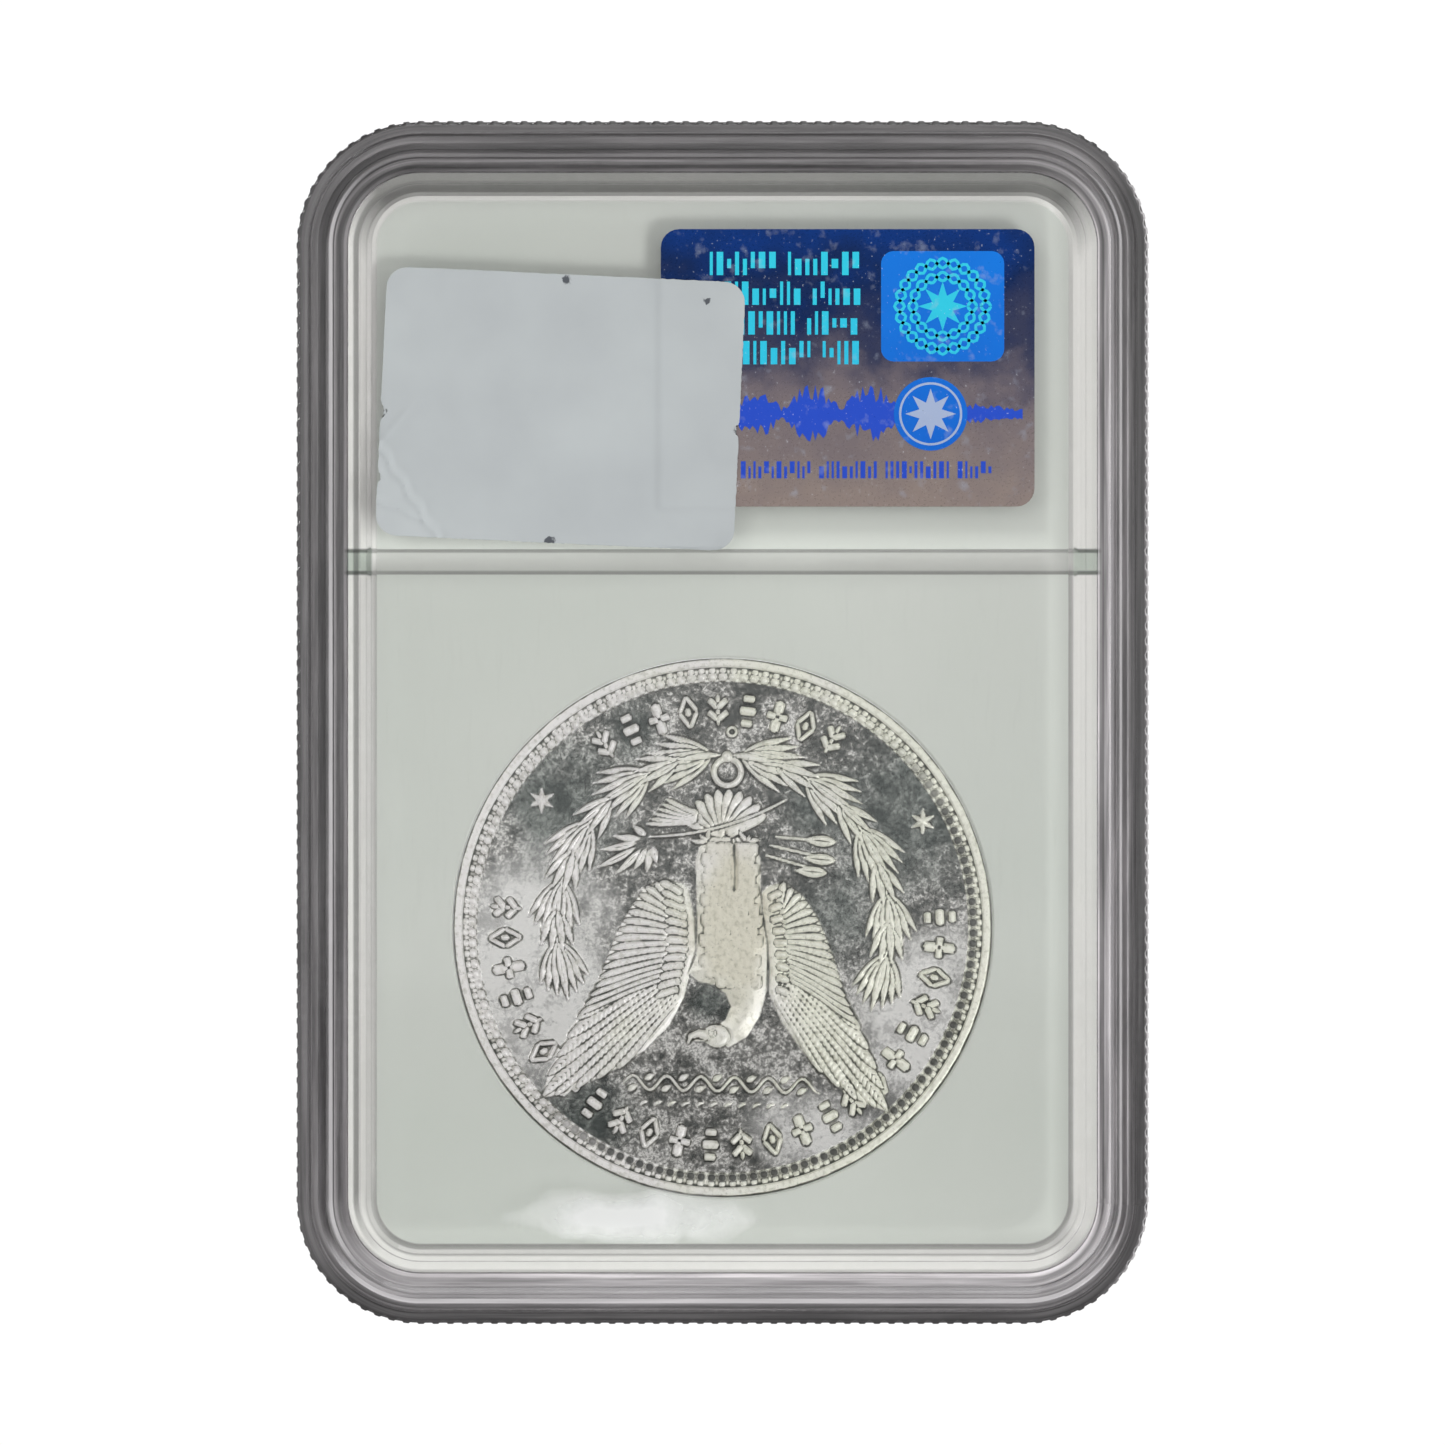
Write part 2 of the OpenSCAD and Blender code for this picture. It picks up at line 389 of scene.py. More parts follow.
def rim_plastic():
    """Clear moulded plastic with painted light and shade across its ridges, painted highlight lines, flow
    lines and scuffs.
    """
    s = Shader("clear_rim_plastic")
    s.set(ior=1.49)
    # Painted light and shade: each side of the rim gets its own bands of grey.
    tint = by_side(s, *(painted_shade_bands(s, side) for side in (RIM_LEFT, RIM_RIGHT, RIM_TOP, RIM_BOTTOM)))
    outer = s.span(s.painted("inset"), 3.2, 3.4, 1.0, 0.0)
    tint = s.mix(outer, tint, s.streaks(3.0, 0.12, 0.8, 1.0), "MULTIPLY")
    # Painted shade along the cross bar.
    s.link(bar_painted_shade(s, tint), "Base Color")
    # Painted highlights: thin lines of the rim turned partly opaque, set per side.
    worn = by_side(s, *(painted_glint_lines(s, side) for side in (GLINT_LEFT, GLINT_RIGHT, GLINT_TOP, GLINT_BOTTOM)))
    s.link(s.math("SUBTRACT", 1.0, worn), "Transmission Weight")
    scuffs = s.noise(1.3, detail=6.0)
    s.link(s.span(scuffs, 0.45, 0.75, 0.03, 0.22), "Roughness")
    s.bump(s.noise(0.6, detail=2.0), 0.25, 0.03)
    s.lamps_through((0.98, 0.99, 0.98, 1))
    return s.mat


def pane_plastic():
    """The flat panes: lamps shine through them, and they carry scratches and one whitened patch, partly
    scuffing and partly a painted reflection.
    """
    s = Shader("clear_pane_plastic")
    scratches = s.noise(2.2, detail=5.0, stretch=(1, 1, 0.12), distortion=0.6)
    gloss = s.node("ShaderNodeBsdfGlossy", {"Color": (1, 1, 1, 1),
                                            "Roughness": s.span(scratches, 0.55, 0.8, 0.04, 0.3)})
    clear = s.node("ShaderNodeBsdfTransparent", {"Color": (0.998, 1.0, 0.998, 1)})
    facing = s.node("ShaderNodeFresnel", {"IOR": 1.45})
    both = s.mix_shaders(facing.outputs[0], clear, gloss)
    haze = s.node("ShaderNodeBsdfDiffuse", {"Color": (1, 1, 1, 1)})
    # A whitened patch on the back pane, partly scuffing and partly a painted reflection.
    on_back = s.span(s.axes()["Y"], -1.0, 0.0, 0.5, 0.0)
    scuff_and_reflection = s.product(s.patch(-6.5, 7.6, 3.0, 8.8, 4.4), on_back)
    s.surface(s.mix_shaders(scuff_and_reflection, both, haze))
    return s.mat


def mating_plastic():
    """The faces where the shells meet, seen through the rim: roughened, in painted light and shade that is
    lighter towards the lower right, with paler bands at set distances in.
    """
    s = Shader("mating_face")
    # Painted light and shade: the shaded bands lie to the upper left, the lit ones to the lower right.
    shaded = s.bands((0, 0.16), (0.8, 0.16), (1.1, 0.2), (2.0, 0.25), (2.3, 0.6), (2.6, 0.5), (2.8, 0.25),
                     (3.2, 0.25), (3.3, 0.6))
    lit = s.bands((0, 0.15), (1.2, 0.2), (1.4, 0.5), (2.0, 0.6), (3.1, 0.55), (3.2, 0.9))
    place = s.axes()
    across = s.product(place["X"], 1 / SLAB_W)
    down = s.math("SUBTRACT", 0.5, s.product(place["Z"], 1 / SLAB_H))
    base = s.mix(s.span(s.math("ADD", across, down), -0.3, 0.3, 0.0, 1.0), shaded, lit)
    s.link(s.tinted(base, s.streaks(3.5, 0.1, 0.5, 1.0)), "Base Color")
    s.set(roughness=0.5)
    return s.mat


def core_plastic():
    """The white insert, with painted shade that darkens it towards the right and where the rim meets the
    window.
    """
    s = Shader("white_core_plastic")
    cloud = s.noise(0.05, detail=2.0)
    worn = s.ramp(cloud, (0.35, (0.725, 0.755, 0.705)), (0.65, (0.76, 0.78, 0.735)))
    place = s.axes()
    # Painted shade: a fall towards the right from the key light, and soft shadow at the window's right, left
    # and bottom edges.
    falling = s.span(place["X"], 6.0, 22.0, 1.0, 0.9)
    right = s.span(place["X"], 23.2, 24.5, 1.0, 0.74)
    left = s.span(place["X"], -24.3, -24.9, 1.0, 0.95)
    foot = s.span(place["Z"], 6.8, 5.7, 1.0, 0.84)
    s.link(s.tinted(worn, s.grey(s.product(falling, right, left, foot))), "Base Color")
    s.set(roughness=0.42, subsurface_weight=0.1, subsurface_radius=(0.0006, 0.0006, 0.0006))
    s.bump(s.noise(3.0, detail=2.0), 0.08, 0.01)
    return s.mat


def weld_plastic():
    """Beads of plastic that melted and set again in the joint."""
    s = Shader("melted_weld_plastic")
    beads = s.noise(1.2, detail=3.0)
    s.link(s.ramp(beads, (0.3, (0.30, 0.32, 0.31)), (0.7, (0.62, 0.65, 0.63))), "Base Color")
    s.set(roughness=0.35)
    s.bump(beads, 0.5, 0.05)
    return s.mat


# Places on the slab where the coin's field is made lighter or darker: across, up, full within, gone at, and
# how much the patch is squashed in height.
BRIGHT_PATCHES = ((-13.5, 25.5, 3.0, 7.0, 0.6), (14.0, 21.5, 2.5, 6.5, 0.8), (6.5, 13.5, 1.5, 6.0, 1.6))
DARK_PATCHES = ((-11.5, 37.0, 2.0, 6.5, 1.0), (-6.5, 42.4, 0.3, 2.6, 1.0), (13.0, 36.5, 2.5, 7.0, 0.9),
                (7.0, 36.5, 0.5, 4.0, 1.0), (8.8, 28.5, 0.5, 4.0, 0.8), (-1.0, 22.8, 0.8, 2.0, 1.0),
                (-9.5, 14.5, 0.8, 5.5, 1.3))


def silver_field(s):
    """The coin's field: a mottled mirror with bright and dark patches."""
    mottle = s.math("ADD", s.noise(0.9, detail=4.0), s.noise(3.6, detail=8.0, distortion=0.4))
    cloud = s.span(s.math("ADD", mottle, s.noise(0.3, detail=2.0)), 0.9, 2.1, 0.0, 1.0)
    dull = s.ramp(cloud, (0.32, (0.1, 0.105, 0.1)), (0.5, (0.33, 0.32, 0.305)), (0.68, (0.88, 0.855, 0.83)))
    bright = s.ramp(cloud, (0.28, (0.7, 0.68, 0.67)), (0.5, (1.0, 0.975, 0.96)))
    dark = s.ramp(cloud, (0.35, (0.07, 0.085, 0.08)), (0.7, (0.34, 0.36, 0.34)))
    speckle = s.ramp(s.noise(7.0, detail=3.0), (0.38, (0.55, 0.55, 0.55)), (0.56, (1, 1, 1)))
    dark = s.tinted(dark, speckle)
    field = s.tinted(dull, speckle)
    for patches, tone in ((BRIGHT_PATCHES, bright), (DARK_PATCHES, dark)):
        for patch in patches:
            field = s.mix(s.patch(*patch), field, tone)
    return field


def silver_relief(s, place):
    """The coin's raised parts: pale and frosted, warmer to the right and on the bird's body."""
    side = s.math("ADD", place["X"], s.span(s.noise(0.2), 0.3, 0.7, -8.0, 8.0))
    raised = s.mix(s.span(side, -6, 6, 0.0, 1.0), (1.0, 0.965, 0.955), (1.0, 0.99, 0.88))
    body = s.patch(COIN_CENTRE[0] + 0.7, COIN_CENTRE[1] + 0.5, 1.6, 3.6, 0.4)
    raised = s.mix(body, raised, (0.84, 0.80, 0.68))
    rubbed = s.ramp(s.noise(2.6, detail=8.0), (0.34, (0.76, 0.76, 0.73)), (0.5, (1, 1, 1)))
    return s.tinted(raised, rubbed)


def silver(name):
    """Struck silver, with dark lines in its hollows and dark gaps between the teeth on the lower right."""
    s = Shader(name)
    place = s.axes()
    frost = s.painted("frost")
    base = s.mix(frost, silver_field(s), silver_relief(s, place))
    broken = s.math("ADD", s.painted("hollow"), s.span(s.noise(0.8, detail=5.0), 0.4, 0.7, 0.0, 0.25))
    line = s.ramp(broken, (0.08, (0.05, 0.055, 0.045)), (0.32, (0.42, 0.42, 0.39)), (0.44, (1, 1, 1)))
    lower_right = s.math("SUBTRACT", place["X"], place["Z"])
    dark_gaps = s.product(s.span(lower_right, -30.0, -20.0, 0.0, 0.95), s.painted("bead"))
    s.link(s.mix(dark_gaps, s.tinted(base, line), (0.04, 0.042, 0.038)), "Base Color")
    s.link(s.span(frost, 0.0, 1.0, 0.95, 0.2), "Metallic")
    grain = s.noise(5.0, detail=4.0)
    rough = s.math("ADD", s.span(frost, 0.0, 1.0, 0.2, 0.3), s.span(grain, 0.3, 0.7, -0.04, 0.06))
    s.link(rough, "Roughness")
    s.bump(grain, 0.12, 0.02)
    return s.mat


def paper(name, light, dark):
    """Matt paper with fine fibres."""
    s = Shader(name)
    fibre = s.noise(6.0, detail=5.0)
    cloud = s.noise(0.15, detail=3.0)
    base = s.ramp(cloud, (0.3, dark), (0.7, light))
    speck = s.ramp(fibre, (0.35, (0.94, 0.94, 0.94)), (0.65, (1, 1, 1)))
    s.link(s.tinted(base, speck), "Base Color")
    s.set(roughness=0.7, sheen_weight=0.05)
    s.bump(fibre, 0.15, 0.01)
    return s.mat


# Dark specks on the paper sticker: across, up and radius.
STICKER_SPECKS = ((-11.0, 73.75, 0.3), (-12.2, 55.3, 0.35), (-1.1, 72.3, 0.22), (-24.2, 64.6, 0.3))


def sticker_paper():
    """Worn light grey paper with a few dark specks."""
    s = Shader("sticker_paper")
    cloud = s.noise(0.12, detail=4.0)
    base = s.ramp(cloud, (0.3, (0.43, 0.455, 0.47)), (0.7, (0.49, 0.52, 0.53)))
    ragged = s.noise(3.0, detail=2.0)
    for x, z, radius in STICKER_SPECKS:
        away = s.math("ADD", s.distance(x, z), s.span(ragged, 0.3, 0.7, -0.15, 0.15))
        base = s.mix(s.span(away, radius * 0.7, radius * 1.1, 0.9, 0.0), base, (0.03, 0.035, 0.05))
    s.link(base, "Base Color")
    s.set(roughness=0.6)
    s.bump(s.noise(2.5, detail=5.0), 0.12, 0.02)
    return s.mat


def ink(name, color):
    """Printed ink, worn a little paler in places."""
    s = Shader(name)
    wear = s.noise(4.0, detail=3.0)
    pale = tuple(min(1.0, c * 1.25 + 0.02) for c in color)
    s.link(s.ramp(wear, (0.4, color), (0.75, pale)), "Base Color")
    s.set(roughness=0.6)
    return s.mat


def foil(name, stops, low_z, high_z, metallic=0.55, roughness=0.3):
    """Foil whose colour shifts up its height, with fine grain and bright specks."""
    s = Shader(name)
    up = s.span(s.axes()["Z"], low_z, high_z, 0.0, 1.0)
    shift = s.math("ADD", up, s.span(s.noise(0.3, detail=4.0), 0.3, 0.7, -0.12, 0.12))
    base = s.ramp(shift, *stops)
    grain = s.noise(4.5, detail=6.0)
    rubbed = s.mix(s.span(s.noise(0.9, detail=7.0), 0.58, 0.72, 0.0, 0.3), base, (0.45, 0.5, 0.62))
    speckled = s.mix(s.span(grain, 0.66, 0.74, 0.0, 0.5), rubbed, (0.75, 0.78, 0.85))
    s.link(speckled, "Base Color")
    s.set(metallic=metallic, specular_ior_level=0.2)
    s.link(s.span(grain, 0.3, 0.7, roughness - 0.08, roughness + 0.12), "Roughness")
    s.bump(grain, 0.2, 0.01)
    return s.mat


# ---------------------------------------------------------------- shells


def run_places(length, extras=()):
    """Places along one run of the outline, the ones kept away from the ribs, and the rib pitch."""
    ribs = round(length / RIB_PITCH)
    every = length / (ribs * RIB_SAMPLES)
    places = np.unique(np.concatenate([np.arange(ribs * RIB_SAMPLES) * every, np.asarray(extras, float)]))
    kept = np.isin(places, extras) | (np.abs(places / (3 * every) - np.round(places / (3 * every))) < 1e-6)
    return places, kept, length / ribs


def rib_wave(places, pitch):
    """How far the wall lies in from the rib tips: flat tips with rounded grooves between them."""
    phase = (places / pitch) % 1.0
    return RIB_DEPTH * np.cos(np.pi * np.clip((phase - 0.5) / 0.62, -0.5, 0.5))


def outline():
    """Points of the slab's outline seen from the back, inward directions, rib depths and kept marks."""
    half_w, half_h = SLAB_W / 2, SLAB_H / 2
    x, z = half_w - CORNER_R, half_h - CORNER_R
    soft = 0.12
    edges = np.array([s * (BAR_W / 2 + d) for s in (-1, 1) for d in (-2 * soft, -soft, 0)]) + BAR_Z - half_h
    runs = []

    def straight(start, way, extras=()):
        length = 2 * (x if way[0] else z)
        places, kept, pitch = run_places(length, extras)
        ways = np.tile([-way[1], way[0]], (len(places), 1))
        runs.append((np.array(start) + np.outer(places, way), ways, rib_wave(places, pitch), kept))

    def bend(cx, cz, start_deg):
        places, kept, pitch = run_places(CORNER_R * math.pi / 2)
        angle = math.radians(start_deg) + places / CORNER_R
        ways = np.stack([-np.cos(angle), -np.sin(angle)], -1)
        runs.append((np.array([cx, cz]) - CORNER_R * ways, ways, rib_wave(places, pitch), kept))

    straight((half_w, -z), (0, 1), z + edges)
    bend(x, z, 0)
    straight((x, half_h), (-1, 0))
    bend(-x, z, 90)
    straight((-half_w, z), (0, -1), z - edges)
    bend(-x, -z, 180)
    straight((-x, -half_h), (1, 0))
    bend(x, -z, 270)
    return [np.concatenate(part) for part in zip(*runs)]


def bar_height(z):
    """Height of a pane's outer face, which the cross bar raises."""
    return PANE_H + BAR_RAISE * smooth_step((BAR_W / 2 - np.abs(z - BAR_Z)) / 0.24)


def ring_faces(near, far):
    """Faces between two rows of a sweep. Each row maps a column to a vertex, or to -1 if it has none."""
    shared = np.nonzero((near >= 0) & (far >= 0))[0]
    cols = len(near)
    faces = []
    for a, b in zip(shared, np.append(shared[1:], shared[0] + cols)):
        span = np.arange(a, b + 1) % cols
        one = near[span]
        two = far[span]
        faces.append([*one[one >= 0].tolist(), *two[two >= 0][::-1].tolist()])
    return faces


def pane_faces(points, ids):
    """Faces that close a loop of (x, z) points, as rungs between points of equal height."""
    order = np.argsort(points[:, 1], kind="stable")
    breaks = np.nonzero(np.diff(points[order, 1]) > 1e-5)[0] + 1
    rungs = [rung[np.argsort(points[rung, 0])] for rung in np.split(order, breaks)]
    return [[*ids[high].tolist(), *ids[low][::-1].tolist()] for low, high in zip(rungs, rungs[1:])]


def shell(name, section, facing, mats):
    """Sweeps a rim section round the outline and closes it with the pane.

    section holds (distance in, height, radius, rib share) corners, from the window's outer edge
    over the rim and back to the window's inner edge. facing is -1 for the back.
    """
    corners = np.array([c[:2] for c in section])
    line = rounded_line([c[:3] for c in section])
    share = np.array([section[np.argmin(np.hypot(*(corners - p).T))][3] for p in line])
    along, inward, waves, kept = outline()
    far = np.concatenate([[0], np.cumsum(np.linalg.norm(np.diff(along, axis=0), axis=1))])
    verts, rows, insets, runs = [], [], [], []
    count = 0
    for (u, h), rib in zip(line, share):
        used = np.nonzero(kept if rib == 0 else np.ones_like(kept))[0]
        flat = along[used] + inward[used] * (u + rib * waves[used])[:, None]
        z = flat[:, 1] + SLAB_H / 2
        height = np.full(len(used), h)
        if u > WINDOW_U - WINDOW_BEVEL and h > PANE_H - PANE_T / 2:
            height = np.maximum(height, bar_height(z))
        verts.append(np.stack([flat[:, 0], facing * height, z], -1))
        insets.append(np.full(len(used), u))
        runs.append(far[used])
        row = np.full(len(along), -1)
        row[used] = count + np.arange(len(used))
        rows.append(row)
        count += len(used)
    faces, slots = [], []
    for (low, low_row), (high, high_row) in zip(zip(line, rows), zip(line[1:], rows[1:])):
        made = ring_faces(low_row, high_row)
        mates = max(low[1], high[1]) < MATE_TOP and RIB_DEPTH < max(low[0], high[0]) <= CAVITY_U
        faces += made
        slots += [2 if mates else 0] * len(made)
    outer = verts[0][:, [0, 2]]
    made = pane_faces(outer, np.arange(len(outer)))
    faces += made
    slots += [0 if abs(outer[face, 1].mean() - BAR_Z) < BAR_W / 2 else 1 for face in made]
    faces.append((count - len(verts[-1]) + np.arange(len(verts[-1]))).tolist())
    slots.append(1)
    if facing < 0:
        faces = [face[::-1] for face in faces]
    obj = make_mesh(name, np.concatenate(verts), faces, mats, slots)
    paint(obj, "inset", np.concatenate(insets))
    paint(obj, "run", np.concatenate(runs))
    return obj


def section(ridges, joint):
    """A shell's section from the window over the rim and joint to the cavity and the pane's inside.

    Its corners are (distance in, height, radius, rib share), and the front and back differ in their
    ridges and in their half of the tongue and groove.
    """
    g = MATE_GAP
    inner = WINDOW_U + WINDOW_BEVEL
    return [
        (inner, PANE_H, 0, 0), (WINDOW_U, PANE_H, 0.1, 0), (WINDOW_U - 0.3, LEDGE_H, 0.12, 0), *ridges,
        (0.0, RIB_TOP, 0.1, 1), (0.0, RIB_FOOT, 0, 1), (0.0, RIB_FOOT - 0.1, 0, 0), (0.0, g, 0, 0), *joint,
        (CAVITY_U, g, 0, 0), (CAVITY_U, CORE_HALF + g, 0.1, 0), (inner, CORE_HALF + g, 0, 0),
    ]


def back_section():
    """An outer ridge above a lower shelf, and the groove."""
    g = MATE_GAP
    ridges = (
        (4.5, LEDGE_H, 0.05, 0), (4.4, SHELF_H, 0.08, 0), (2.7, SHELF_H, 0.25, 0), (2.1, RIDGE_H, 0.18, 0),
        (1.1, RIDGE_H, 0.12, 0), (0.85, EDGE_H, 0.1, 0), (0.3, EDGE_H, 0.05, 0),
    )
    joint = (
        (1.5 + g, g, 0, 0), (1.5 + g, g - GROOVE_DEPTH, 0.05, 0), (2.1 - g, g - GROOVE_DEPTH, 0.05, 0),
        (2.1 - g, g, 0, 0),
    )
    return section(ridges, joint)


def front_section():
    """An inner ridge that fits inside the next slab's outer one, and the tongue."""
    g = MATE_GAP
    ridges = (
        (3.9, LEDGE_H, 0.15, 0), (3.4, RIDGE_H, 0.15, 0), (2.5, RIDGE_H, 0.12, 0), (2.3, LEDGE_H, 0.1, 0),
        (0.35, LEDGE_H, 0.1, 0), (0.25, EDGE_H, 0, 0),
    )
    joint = (
        (1.4 - g, g, 0, 0), (1.4 - g, TONGUE_H + g, 0.05, 0), (2.2 + g, TONGUE_H + g, 0.05, 0),
        (2.2 + g, g, 0, 0),
    )
    return section(ridges, joint)


def build_shells():
    mats = [rim_plastic(), pane_plastic(), mating_plastic()]
    halves = ("back_clear_shell", back_section(), -1), ("front_clear_shell", front_section(), 1)
    for name, corners, facing in halves:
        obj = shell(name, corners, facing, mats)
        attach(obj, "holder")
        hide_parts(name.replace("_clear", ""))


build_shells()
for node, mat in (("core", core_plastic()), ("weld_seam", weld_plastic())):
    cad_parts[node].data.materials.clear()
    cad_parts[node].data.materials.append(mat)


# ---------------------------------------------------------------- relief shapes

TRENCH = 0.16


def arc(start, end, bend=0.0, steps=8):
    """Points of a curve from start to end, bowed to its left by bend times its length."""
    a, b = np.array(start, float), np.array(end, float)
    middle = (a + b) / 2 + bend * np.array([a[1] - b[1], b[0] - a[0]])
    t = np.linspace(0, 1, steps + 1)[:, None]
    return (1 - t) ** 2 * a + 2 * t * (1 - t) * middle + t * t * b


def along_curve(points, curve):
    """How far along the curve each point is, from 0 to 1, and how far to its left."""
    steps = np.diff(curve, axis=0)
    lengths = np.maximum(np.linalg.norm(steps, axis=1), 1e-6)
    starts = np.concatenate([[0], np.cumsum(lengths)[:-1]])
    gap = points[:, None] - curve[None, :-1]
    share = np.clip((gap * steps).sum(-1) / lengths**2, 0, 1)
    away = gap - share[..., None] * steps
    reach = np.linalg.norm(away, axis=-1)
    best = reach.argmin(1)
    pick = np.arange(len(points))
    turn = steps[best, 0] * away[pick, best, 1] - steps[best, 1] * away[pick, best, 0]
    t = (starts[best] + share[pick, best] * lengths[best]) / lengths.sum()
    return t, np.where(turn < 0, -1, 1) * reach[pick, best]


# Widths of a leaf, feather or stroke along its length, where t runs from 0 to 1.


def leaf_shape(t):
    return np.sin(np.pi * np.clip(t, 0, 1) ** 0.8) ** 0.8


def feather_shape(t):
    return np.clip(t * 12, 0, 1) * np.sqrt(np.clip(1 - np.clip((t - 0.6) / 0.4, 0, 1) ** 2.5, 0, 1))


def stroke_shape(t):
    return np.sqrt(np.clip(1 - (2 * t - 1) ** 8, 0, 1))


def taper_shape(t):
    return np.clip(1.05 - t, 0, 1) ** 0.6 * np.clip(t * 10, 0, 1)


class Relief:
    """Heights above a coin's field at a set of points, laid down shape over shape."""

    def __init__(self, points):
        self.points = points
        self.height = np.zeros(len(points))
        self.frost = np.zeros(len(points))
        self.bead = np.zeros(len(points))
        self.edge = np.zeros(len(points))

    def near(self, low, high, margin):
        """Numbers of the points inside a box and its margin."""
        p = self.points
        inside = (p[:, 0] > low[0] - margin) & (p[:, 0] < high[0] + margin)
        inside &= (p[:, 1] > low[1] - margin) & (p[:, 1] < high[1] + margin)
        return np.nonzero(inside)[0]

    def lay(self, which, edge, profile, cut=0.5):
        """Sets the heights inside a shape to its profile and cuts a trench round it.

        edge is each point's distance outside the shape, which is negative inside it.
        """
        outside = self.height[which] * (1 - cut * smooth_step(1 - edge / TRENCH))
        inside = smooth_step(-edge / 0.1)
        self.height[which] = outside * (1 - inside) + profile * inside
        self.frost[which] = np.maximum(self.frost[which], smooth_step(0.5 - edge / 0.1))

    def leaf(self, curve, half_width, height, shape=leaf_shape, vein=0.0, barbs=0.0, lift=0.0, cut=0.5):
        """A leaf, feather or stroke along a curve: domed across, with a vein and slanting barbs."""
        curve = np.asarray(curve, float)
        which = self.near(curve.min(0), curve.max(0), half_width + TRENCH)
        if len(which) == 0:
            return
        t, side = along_curve(self.points[which], curve)
        width = np.maximum(half_width * shape(t), 1e-3)
        across = np.clip(np.abs(side) / width, 0, 1)
        length = np.linalg.norm(np.diff(curve, axis=0), axis=1).sum()
        profile = height * (0.35 + 0.65 * np.sqrt(1 - across**2))
        profile -= vein * height * np.exp(-((side / 0.07) ** 2))
        profile -= barbs * height * (0.5 + 0.5 * np.cos(2 * np.pi * (t * length - across * 0.35) / 0.42))
        self.lay(which, np.abs(side) - width, lift + profile, cut)

    def dome(self, centre, radius, height, squash=1.0, turn_deg=0.0, power=0.5):
        """A dome, round or oval, with its long axis turned from upright."""
        centre = np.array(centre, float)
        which = self.near(centre, centre, radius * max(1, squash) + TRENCH)
        if len(which) == 0:
            return
        x, z = turned(*(self.points[which] - centre).T, -math.radians(turn_deg))
        reach = np.hypot(x, z / squash)
        self.lay(which, reach - radius, height * np.clip(1 - (reach / radius) ** 2, 0, 1) ** power)

    def star(self, centre, points, outer, inner, height, turn_deg=90.0):
        """A star with facets that meet in ridges along its points."""
        centre = np.array(centre, float)
        which = self.near(centre, centre, outer + TRENCH)
        away = self.points[which] - centre
        reach = np.hypot(away[:, 0], away[:, 1])
        half = math.pi / points
        angle = np.arctan2(away[:, 1], away[:, 0]) - math.radians(turn_deg)
        fold = np.abs((angle + half) % (2 * half) - half)
        slope = (outer - inner * math.cos(half)) / (inner * math.sin(half))
        limit = outer / (np.cos(fold) + slope * np.sin(fold))
        self.lay(which, reach - limit, height * np.clip(1.15 - reach / limit, 0, 1))

    def ring(self, centre, radius, half_width, height):
        """A ring with a round section."""
        centre = np.array(centre, float)
        which = self.near(centre, centre, radius + half_width + TRENCH)
        reach = np.hypot(*(self.points[which] - centre).T)
        across = np.abs(reach - radius)
        profile = height * np.sqrt(np.clip(1 - (across / half_width) ** 2, 0.1, 1))
        self.lay(which, across - half_width, profile)

    def fill(self, polygon, height, soft=0.5):
        """A raised pad inside a polygon, falling off over its soft edge."""
        polygon = np.asarray(polygon, float)
        which = self.near(polygon.min(0), polygon.max(0), 0.1)
        p = self.points[which]
        inside = np.zeros(len(p), bool)
        for a, b in zip(polygon, np.roll(polygon, -1, axis=0)):
            crosses = (a[1] > p[:, 1]) != (b[1] > p[:, 1])
            rise = np.where(b[1] == a[1], 1e-9, b[1] - a[1])
            inside ^= crosses & (p[:, 0] < a[0] + (p[:, 1] - a[1]) * (b[0] - a[0]) / rise)
        _, side = along_curve(p, np.vstack([polygon, polygon[:1]]))
        edge = np.where(inside, -np.abs(side), np.abs(side))
        self.lay(which, edge, height * smooth_step(0.25 - edge / soft))


def polar(radius, angle_deg):
    """The point at a radius and angle from the origin."""
    a = math.radians(angle_deg)
    return np.array([radius * math.cos(a), radius * math.sin(a)])


def lerp_line(line, t):
    """The point at share t of a polyline's length."""
    line = np.asarray(line, float)
    far = np.concatenate([[0], np.cumsum(np.linalg.norm(np.diff(line, axis=0), axis=1))])
    return np.array([np.interp(t * far[-1], far, line[:, k]) for k in (0, 1)])


# ---------------------------------------------------------------- coin designs

# Each wing of the bird: its free edge from the shoulder to the tip, then the edge along the body
# and below it, in millimetres from the coin's middle.
LEFT_WING = (
    ((-3.0, 3.1), (-4.3, 3.3), (-5.6, 2.7), (-6.6, 1.2), (-7.4, -0.4), (-8.0, -2.0), (-8.7, -4.0),
     (-9.8, -6.1), (-10.9, -8.3), (-12.0, -10.4), (-12.5, -12.4)),
    ((-2.5, 2.7), (-2.0, 0.5), (-1.9, -1.6), (-2.3, -3.4), (-2.6, -5.0), (-3.6, -7.0), (-5.3, -8.8),
     (-7.1, -10.1), (-9.0, -11.1), (-10.9, -12.0), (-12.5, -12.4)),
)
RIGHT_WING = (
    ((3.2, 3.0), (4.3, 3.3), (5.6, 2.4), (6.7, 0.9), (7.5, -0.9), (8.2, -2.8), (8.9, -5.0), (10.0, -7.2),
     (11.0, -9.5), (11.7, -11.4), (12.0, -12.8)),
    ((2.7, 2.5), (2.9, 0.6), (3.2, -1.0), (3.4, -2.9), (3.4, -4.6), (4.3, -6.6), (5.9, -8.7), (7.9, -10.7),
     (9.9, -12.1), (12.0, -12.8)),
)
